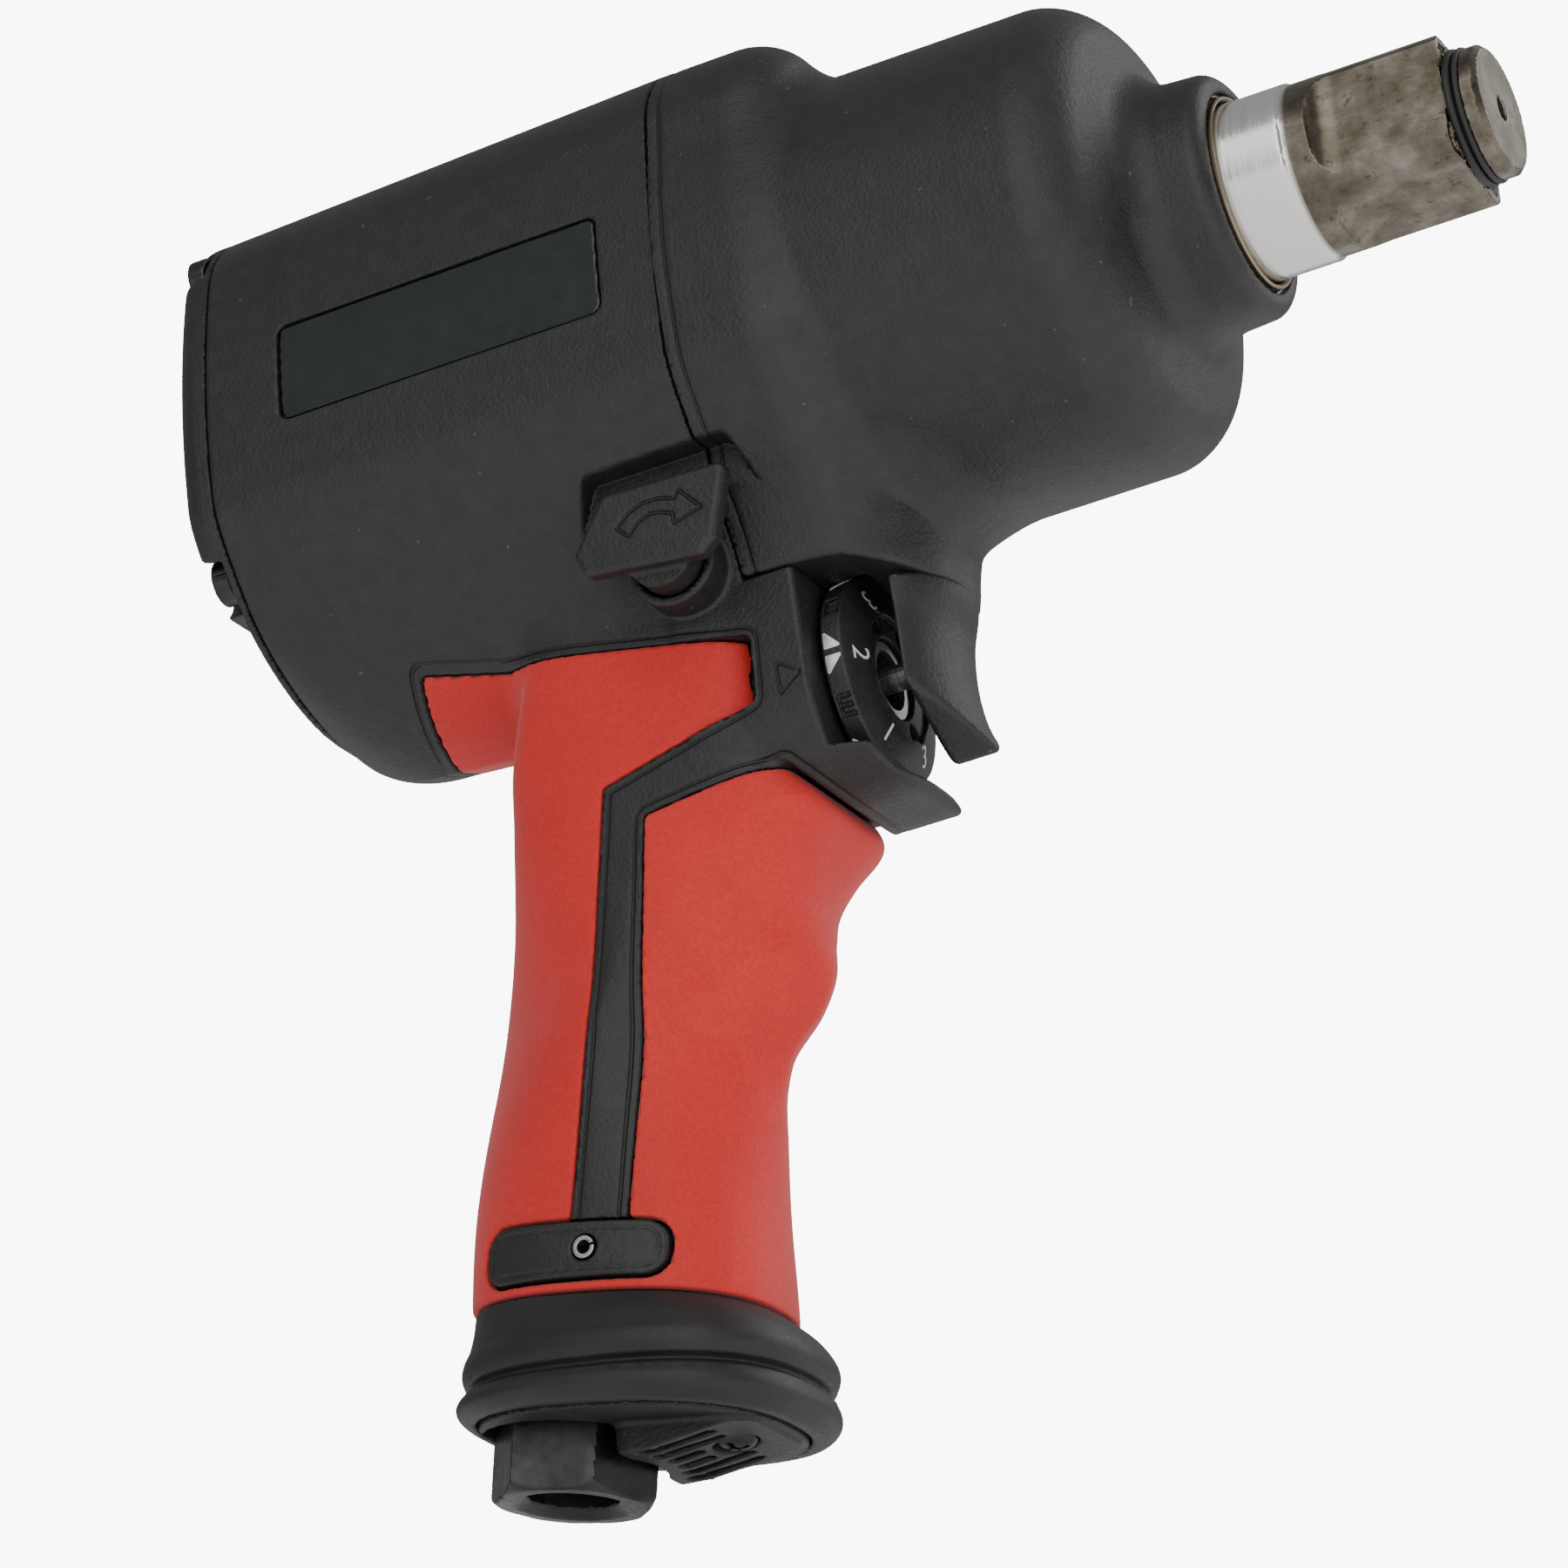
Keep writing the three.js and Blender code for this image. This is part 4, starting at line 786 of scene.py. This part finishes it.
def soft_red():
    m = Material("red_overmould")
    fine, broad = m.noise(3000, 2, 0.6), m.noise(45, 4)
    colour = m.ramp(broad, [(0.3, (0.52, 0.014, 0.011)), (0.7, (0.60, 0.020, 0.016))])
    specks = m.ramp(m.noise(1700, 2, 0.5), [(0.4, (0.93, 0.93, 0.93)), (0.66, (1.06, 1.06, 1.06))])
    mixed = m.nodes.new("ShaderNodeMix")
    mixed.data_type = "RGBA"
    mixed.blend_type = "MULTIPLY"
    mixed.inputs["Factor"].default_value = 1.0
    inputs = [i for i in mixed.inputs if i.type == "RGBA"]
    m.link(colour, inputs[0])
    m.link(specks, inputs[1])
    m.set("Base Color", [o for o in mixed.outputs if o.type == "RGBA"][0])
    m.set("Roughness", m.range(fine, 0.55, 0.72))
    m.set("Specular IOR Level", 0.35)
    m.set("Sheen Weight", 0.15)
    m.set("Sheen Roughness", 0.5)
    m.bump(fine, 0.00005, 0.6)
    return m.material


def black_rubber():
    m = Material("black_rubber")
    fine, broad = m.noise(2200, 3), m.noise(70, 3)
    m.set("Base Color", m.ramp(broad, [(0.3, (0.010, 0.010, 0.011)), (0.7, (0.02, 0.02, 0.021))]))
    m.set("Roughness", m.range(fine, 0.42, 0.58))
    m.set("Specular IOR Level", 0.4)
    m.bump(fine, 0.00004, 0.4)
    return m.material


def gloss_film():
    m = Material("gloss_film")
    m.set("Base Color", m.ramp(m.noise(25, 2), [(0.3, (0.010, 0.014, 0.014)), (0.7, (0.015, 0.020, 0.020))]))
    m.set("Roughness", m.range(m.noise(300, 3), 0.16, 0.26))
    m.bump(m.noise(500, 2), 0.00002, 0.25)
    return m.material


def metal(name, dark, light, rough=(0.22, 0.38), lines=(0, 0, 0), depth=0.00003, strength=0.3):
    """Machined metal. lines stretches the fine marks along one axis."""
    m = Material(name)
    vector = m.stretched(lines) if any(lines) else None
    marks = m.noise(1.0 if vector else 900, 4, 0.6, vector)
    stain = m.noise(110, 4, 0.6)
    m.set("Base Color", m.ramp(stain, [(0.3, dark), (0.65, light)]))
    m.set("Metallic", 1.0)
    m.set("Roughness", m.math("ADD", m.range(marks, *rough), m.range(stain, 0.06, -0.03)))
    m.bump(marks, depth, strength)
    return m.material


def drive_steel():
    """Forged drive: brown stained flats, dark pits, and a bright ground journal behind them."""
    m = Material("drive_steel")
    split = m.nodes.new("ShaderNodeSeparateXYZ")
    m.link(m.coordinate, split.inputs["Vector"])
    start = ORIGIN.x + 90.6 * MM
    worn = m.range(split.outputs["X"], 0, 1, start - 0.0004, start + 0.0004)
    marks = m.noise(1.0, 5, 0.65, m.stretched((500, 2600, 2600)))
    rings = m.noise(1.0, 2, 0.5, m.stretched((3800, 8, 8)))
    stain = m.noise(160, 5, 0.62)
    pits = m.noise(420, 5, 0.7)
    brown = m.ramp(stain, [(0.28, (0.075, 0.062, 0.042)), (0.5, (0.16, 0.14, 0.11)),
                           (0.74, (0.30, 0.28, 0.24))])
    brown = m.mix(m.ramp(pits, [(0.58, (0, 0, 0)), (0.68, (0.8, 0.8, 0.8))]), brown, (0.05, 0.04, 0.028))
    bright = m.ramp(rings, [(0.3, (0.78, 0.77, 0.75)), (0.7, (0.90, 0.89, 0.87))])
    m.set("Base Color", m.mix(worn, bright, brown))
    m.set("Metallic", 1.0)
    rough_worn = m.range(marks, 0.24, 0.44)
    rough_ground = m.range(rings, 0.16, 0.3)
    blend = m.math("ADD", m.math("MULTIPLY", worn, rough_worn),
                   m.math("MULTIPLY", m.math("SUBTRACT", 1.0, worn), rough_ground))
    m.set("Roughness", blend)
    height = m.math("ADD", m.math("MULTIPLY", worn, m.math("ADD", marks, pits)),
                    m.math("MULTIPLY", m.math("SUBTRACT", 1.0, worn), rings))
    m.bump(height, 0.00003, 0.3)
    return m.material


def paint(name, colour, rough=0.5):
    m = Material(name)
    tone = tuple(0.86 * c for c in colour)
    m.set("Base Color", m.ramp(m.noise(900, 3), [(0.35, tone), (0.6, colour)]))
    m.set("Roughness", m.range(m.noise(1400, 2), rough - 0.08, rough + 0.08))
    m.bump(m.noise(2400, 2), 0.00002, 0.3)
    return m.material


BLACK = composite()
MARKED = composite("marked_composite", marked=True)
DIAL_BLACK = composite("dial_black", 0.010, 0.017, 3200)
RED_SKIN = soft_red()
RUBBER = black_rubber()
FILM = gloss_film()
DRIVE = drive_steel()
STEEL = metal("machined_steel", (0.42, 0.41, 0.40), (0.58, 0.57, 0.56), lines=(4200, 60, 60))
DARK_STEEL = metal("black_oxide", (0.04, 0.04, 0.041), (0.085, 0.083, 0.08), (0.32, 0.46), depth=0.00004)
ALLOY = metal("cast_alloy", (0.36, 0.37, 0.38), (0.5, 0.51, 0.52), (0.38, 0.55))
BRONZE = metal("bronze", (0.24, 0.19, 0.13), (0.36, 0.30, 0.22), lines=(3600, 60, 60))
FIBRE = paint("pressed_fibre", (0.30, 0.25, 0.17), 0.8)
WHITE = paint("white_paint", (0.72, 0.72, 0.70), 0.5)

NODE_FINISH = {
    "retaining_ring": DARK_STEEL, "drive_o_ring": RUBBER,
    "rear_gasket": FIBRE, "case_gasket": FIBRE, "muffler_felt": FIBRE, "hammer_case": ALLOY,
    "motor_cylinder": ALLOY, "rear_end_plate": ALLOY, "front_end_plate": ALLOY, "anvil_bushing": BRONZE,
    "throttle_valve": RUBBER,
}
for node_name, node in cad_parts.items():
    node.data.materials.clear()
    finish = FIBRE if node_name.startswith("vane") else NODE_FINISH.get(node_name, STEEL)
    node.data.materials.append(finish)


def finish_piece(piece, material, body_name, slot_name, *nodes):
    piece.data.materials.append(material)
    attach(piece, body_name)
    if nodes:
        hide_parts(*nodes)
    return piece


# ---------------------------------------------------------------- pieces

COARSENESS = 1.0


def make(name, field, low, high, voxel, material, body_name, slot_name, *nodes, marks=None):
    piece = mesh_field(name, field, low, high, voxel * COARSENESS, marks)
    return finish_piece(piece, material, body_name, slot_name, *nodes)


make("housing_shell", housing, (-72, -38, -158), (26, 38, 42), 0.5, MARKED, "housing", "housing",
     "motor_housing", marks=housing_marks)
make("case_shell", case_cover, (3, -38, -50), (84, 38, 42), 0.55, MARKED, "housing", "housing",
     "hammer_case_cover", marks=case_marks)
make("red_skin", overmould, (-74, -38, -150), (26, 38, -30), 0.55, RED_SKIN, "housing", "red_rubber",
     "grip_overmold")
make("rear_cap", rear_cover, (-74, -38, -46), (-62, 38, 42), 0.55, BLACK, "housing", "housing", "rear_cover")
make("base_boot", base_ring, (-66, -25, -164), (2, 25, -126), 0.55, RUBBER, "housing", "black_rubber",
     "base_ring")
make("exhaust_plate", exhaust_cover, (-66, -25, -166), (2, 25, -140), 0.45, BLACK, "housing", "housing",
     "exhaust_cover")
make("trigger_shell", trigger, (20, -13, -72), (34, 13, -41), 0.4, BLACK, "trigger", "housing", "trigger")
make("drive_anvil", anvil, (12, -15, -15), (120, 15, 15), 0.42, DRIVE, "anvil_group", "drive_steel", "anvil")
make("inlet_hexagon", inlet, (-62, -14, -166), (-28, 14, -128), 0.42, DARK_STEEL, "housing", "dark_steel",
     "inlet_bushing")
for side, word in ((-1, "near"), (1, "far")):
    y_low, y_high = sorted((side * 16, side * 38))
    make("lever_" + word, lever(side), (-18, y_low, -48), (14, y_high, -26), 0.32, MARKED, "reverse_valve",
         "housing", "reverse_lever_" + word, marks=lever_marks)
    make("label_" + word, label_plate(side), (-56, y_low, -5), (-2, y_high, 15), 0.4, FILM, "housing",
         "gloss_black", "label_plate_" + word)
    y_low, y_high = sorted((side * 8, side * 24))
    make("badge_plate_" + word, badge(side), (-54, y_low, -142), (-16, y_high, -118), 0.4, BLACK, "housing",
         "housing", "badge_" + word)

for number, (bolt_y, bolt_z) in enumerate(BOLTS, 1):
    make(f"cap_screw_{number}", cover_bolt(bolt_y, bolt_z), (BOLT_SEAT - 4, bolt_y - 4, bolt_z - 4),
         (BOLT_SEAT + 27, bolt_y + 4, bolt_z + 4), 0.25, DARK_STEEL, "housing", "dark_steel",
         f"cover_bolt_{number}")
make("cover_screw", exhaust_screw, (-44, -4, -166), (-16, 4, -138), 0.22, DARK_STEEL, "housing", "dark_steel",
     "exhaust_screw")
make("roll_pin", grip_pin, (-38, -19.5, -132), (-26, 19.5, -124), 0.2, STEEL, "housing", "steel", "grip_pin")
make("power_dial", regulator_dial, (12, -16, -74), (20, 16, -40), 0.3, DIAL_BLACK, "dial", "housing",
     "regulator_dial")


def sheet_on(name, points, faces, material, body_name, slot_name):
    mesh = bpy.data.meshes.new(name)
    mesh.from_pydata(place_points(np.array(points, float)).tolist(), [], faces)
    mesh.shade_smooth()
    return finish_piece(link(name, mesh), material, body_name, slot_name)


def around_dial(angle, along, x, r):
    """Point of the dial: along its rim from an angle above the near side."""
    turn = angle + along / r
    return DIAL_X + x, -r * math.cos(turn), DIAL_Z + r * math.sin(turn)


def dial_marks():
    """White split arrows on the dial's rim, one at each setting."""
    points, faces = [], []
    for setting in range(6):
        angle = math.radians(60 * setting)
        for half in (-1, 1):
            outline = [(0.4, 0.6), (0.6, 0.5), (2.5, 0.5), (2.75, 0.6), (2.75, 0.9), (0.75, 3.0), (0.5, 3.05),
                       (0.38, 2.8)]
            start = len(points)
            for lift in (DIAL_R + 0.07, DIAL_R - 0.3):
                points += [around_dial(angle, half * t, x, lift) for x, t in outline]
            count = len(outline)
            top = list(range(start, start + count))
            faces.append(top if half > 0 else top[::-1])
            for i in range(count):
                a, b = start + i, start + (i + 1) % count
                side = [a, a + count, b + count, b]
                faces.append(side if half > 0 else side[::-1])
    return sheet_on("dial_arrows", points, faces, WHITE, "dial", "housing")


DIGIT_R = 11.6


def dial_digits():
    """Digits of the power settings on the dial's front face, their tops towards its middle."""
    for place, digit in enumerate("321321"):
        text = bpy.data.curves.new("digit", "FONT")
        text.body = digit
        text.size = 4.6
        text.align_x = "CENTER"
        text.align_y = "CENTER"
        text.extrude = 0.06
        text.offset = -0.03
        shape = bpy.data.objects.new("digit", text)
        mesh = bpy.data.meshes.new_from_object(shape)
        angle = math.radians(60 - 60 * place)
        outward = Vector((0, -math.cos(angle), math.sin(angle)))
        across = Vector((1, 0, 0)).cross(outward)
        normal = CONE_TURN.x * Vector((1, 0, 0)) + CONE_TURN.y * outward
        frame_turn = Matrix((across, normal.cross(across), normal)).transposed()
        depth = (DIAL_R - DIGIT_R) * CONE_TURN.y / CONE_TURN.x
        middle = Vector((DIAL_X + CONE_X + depth, 0, DIAL_Z)) + DIGIT_R * outward
        mesh.transform(Matrix.Translation(middle) @ frame_turn.to_4x4())
        mesh.transform(Matrix.Translation(ORIGIN) @ Matrix.Scale(MM, 4))
        finish_piece(link(f"dial_digit_{place + 1}", mesh), WHITE, "dial", "housing")
        bpy.data.objects.remove(shape)


dial_marks()
dial_digits()


def turned(name, profile, segments, material, body_name, slot_name, *nodes):
    """Smooth body of revolution about the barrel axis from a closed row of (x, radius) points."""
    count = len(profile)
    points, faces = [], []
    for k in range(segments):
        angle = 2 * math.pi * k / segments
        points += [(x, r * math.cos(angle), r * math.sin(angle)) for x, r in profile]
        after = (k + 1) % segments
        for i in range(count):
            j = (i + 1) % count
            faces.append([k * count + i, k * count + j, after * count + j, after * count + i])
    mesh = bpy.data.meshes.new(name)
    mesh.from_pydata(place_points(np.array(points)).tolist(), [], faces)
    shell = bmesh.new()
    shell.from_mesh(mesh)
    bmesh.ops.recalc_face_normals(shell, faces=shell.faces)
    shell.to_mesh(mesh)
    shell.free()
    mesh.shade_smooth()
    mesh.set_sharp_from_angle(angle=math.radians(35))
    return finish_piece(link(name, mesh), material, body_name, slot_name, *nodes)


def ring_profile(x, radius, wire):
    turns = np.linspace(0, 2 * math.pi, 17)[:-1]
    return [(x + wire * math.cos(t), radius + wire * math.sin(t)) for t in turns]


turned("o_ring", ring_profile(113.65, 9.3, 0.6), 72, RUBBER, "anvil_group", "black_rubber", "drive_o_ring")
turned("friction_ring", ring_profile(114.9, 9.3, 0.45), 72, RUBBER, "anvil_group", "dark_steel",
       "retaining_ring")
turned("nose_bush", [(66.5, 13.1), (80.3, 13.1), (80.7, 13.3), (80.9, 13.5), (80.9, 13.7), (80.7, 13.9),
                     (66.5, 13.9)], 96, BRONZE, "housing", "bronze", "anvil_bushing")

# ---------------------------------------------------------------- camera, lights and floor

RIGHT = Vector((0.8906, 0.4344, -0.1346)).normalized()
TOWARD = Vector((0.357, -0.8513, -0.3845))
TOWARD = (TOWARD - TOWARD.dot(RIGHT) * RIGHT).normalized()
UP = TOWARD.cross(RIGHT)
DISTANCE = 1175.34
OFFSET = Vector((-7.4975, 58.5536, -7.1401))
TURN = Matrix((RIGHT, UP, TOWARD)).transposed()

camera = bpy.data.objects.new("camera", bpy.data.cameras.new("camera"))
bpy.context.scene.collection.objects.link(camera)
place = TURN @ (Vector((0, 0, DISTANCE)) - OFFSET)
camera.matrix_world = Matrix.Translation(ORIGIN + place * MM) @ TURN.to_4x4()
camera.data.sensor_width = 36
camera.data.lens = 192.7
camera.data.clip_start = 0.05
camera.data.clip_end = 20
bpy.context.scene.camera = camera

CENTRE = Vector((cad_box[0][0] + cad_box[1][0], 0, cad_box[0][2] + cad_box[1][2])) / 2


def soft_light(name, direction, distance, size, power):
    light = bpy.data.objects.new(name, bpy.data.lights.new(name, "AREA"))
    light.data.size = size
    light.data.energy = power
    bpy.context.scene.collection.objects.link(light)
    direction = Vector(direction).normalized()
    light.location = CENTRE + direction * distance
    light.rotation_euler = (-direction).to_track_quat("-Z", "Y").to_euler()


soft_light("key", UP * 1.0 + TOWARD * 0.9 - RIGHT * 0.3, 1.4, 1.6, 12)
soft_light("fill", TOWARD * 1.0 + RIGHT * 0.7 - UP * 0.2, 1.4, 1.6, 7.5)
soft_light("rim", UP * 0.6 - TOWARD * 0.5 + RIGHT * 1.0, 1.2, 1.0, 6)

world = bpy.data.worlds.new("world")
bpy.context.scene.world = world
world.use_nodes = True
backdrop = world.node_tree.nodes["Background"]
backdrop.inputs["Color"].default_value = (1, 1, 1, 1)
seen = world.node_tree.nodes.new("ShaderNodeLightPath").outputs["Is Camera Ray"]
level = world.node_tree.nodes.new("ShaderNodeMapRange")
level.inputs["To Min"].default_value = 0.32
level.inputs["To Max"].default_value = 9.0
world.node_tree.links.new(seen, level.inputs["Value"])
world.node_tree.links.new(level.outputs["Result"], backdrop.inputs["Strength"])


def make_floor():
    """Pale floor, seen only from above: the camera looks up from under it."""
    size = 3.0
    mesh = bpy.data.meshes.new("floor")
    z = cad_box[0][2] - 0.0003
    corners = [(-size, -size, z), (size, -size, z), (size, size, z), (-size, size, z)]
    mesh.from_pydata(corners, [], [(0, 1, 2, 3)])
    floor = link("floor", mesh)
    m = Material("floor_paint")
    m.set("Base Color", m.ramp(m.noise(3, 3), [(0.3, (0.80, 0.80, 0.80)), (0.7, (0.84, 0.84, 0.84))]))
    m.set("Roughness", 0.7)
    m.set("Emission Color", (1.0, 1.0, 1.0))
    m.set("Emission Strength", 0.5)
    clear = m.nodes.new("ShaderNodeBsdfTransparent")
    mix = m.nodes.new("ShaderNodeMixShader")
    back = m.nodes.new("ShaderNodeNewGeometry").outputs["Backfacing"]
    m.link(back, mix.inputs["Fac"])
    m.link(m.shader.outputs["BSDF"], mix.inputs[1])
    m.link(clear.outputs["BSDF"], mix.inputs[2])
    m.link(mix.outputs["Shader"], m.nodes["Material Output"].inputs["Surface"])
    mesh.materials.append(m.material)
    floor.visible_shadow = False


make_floor()
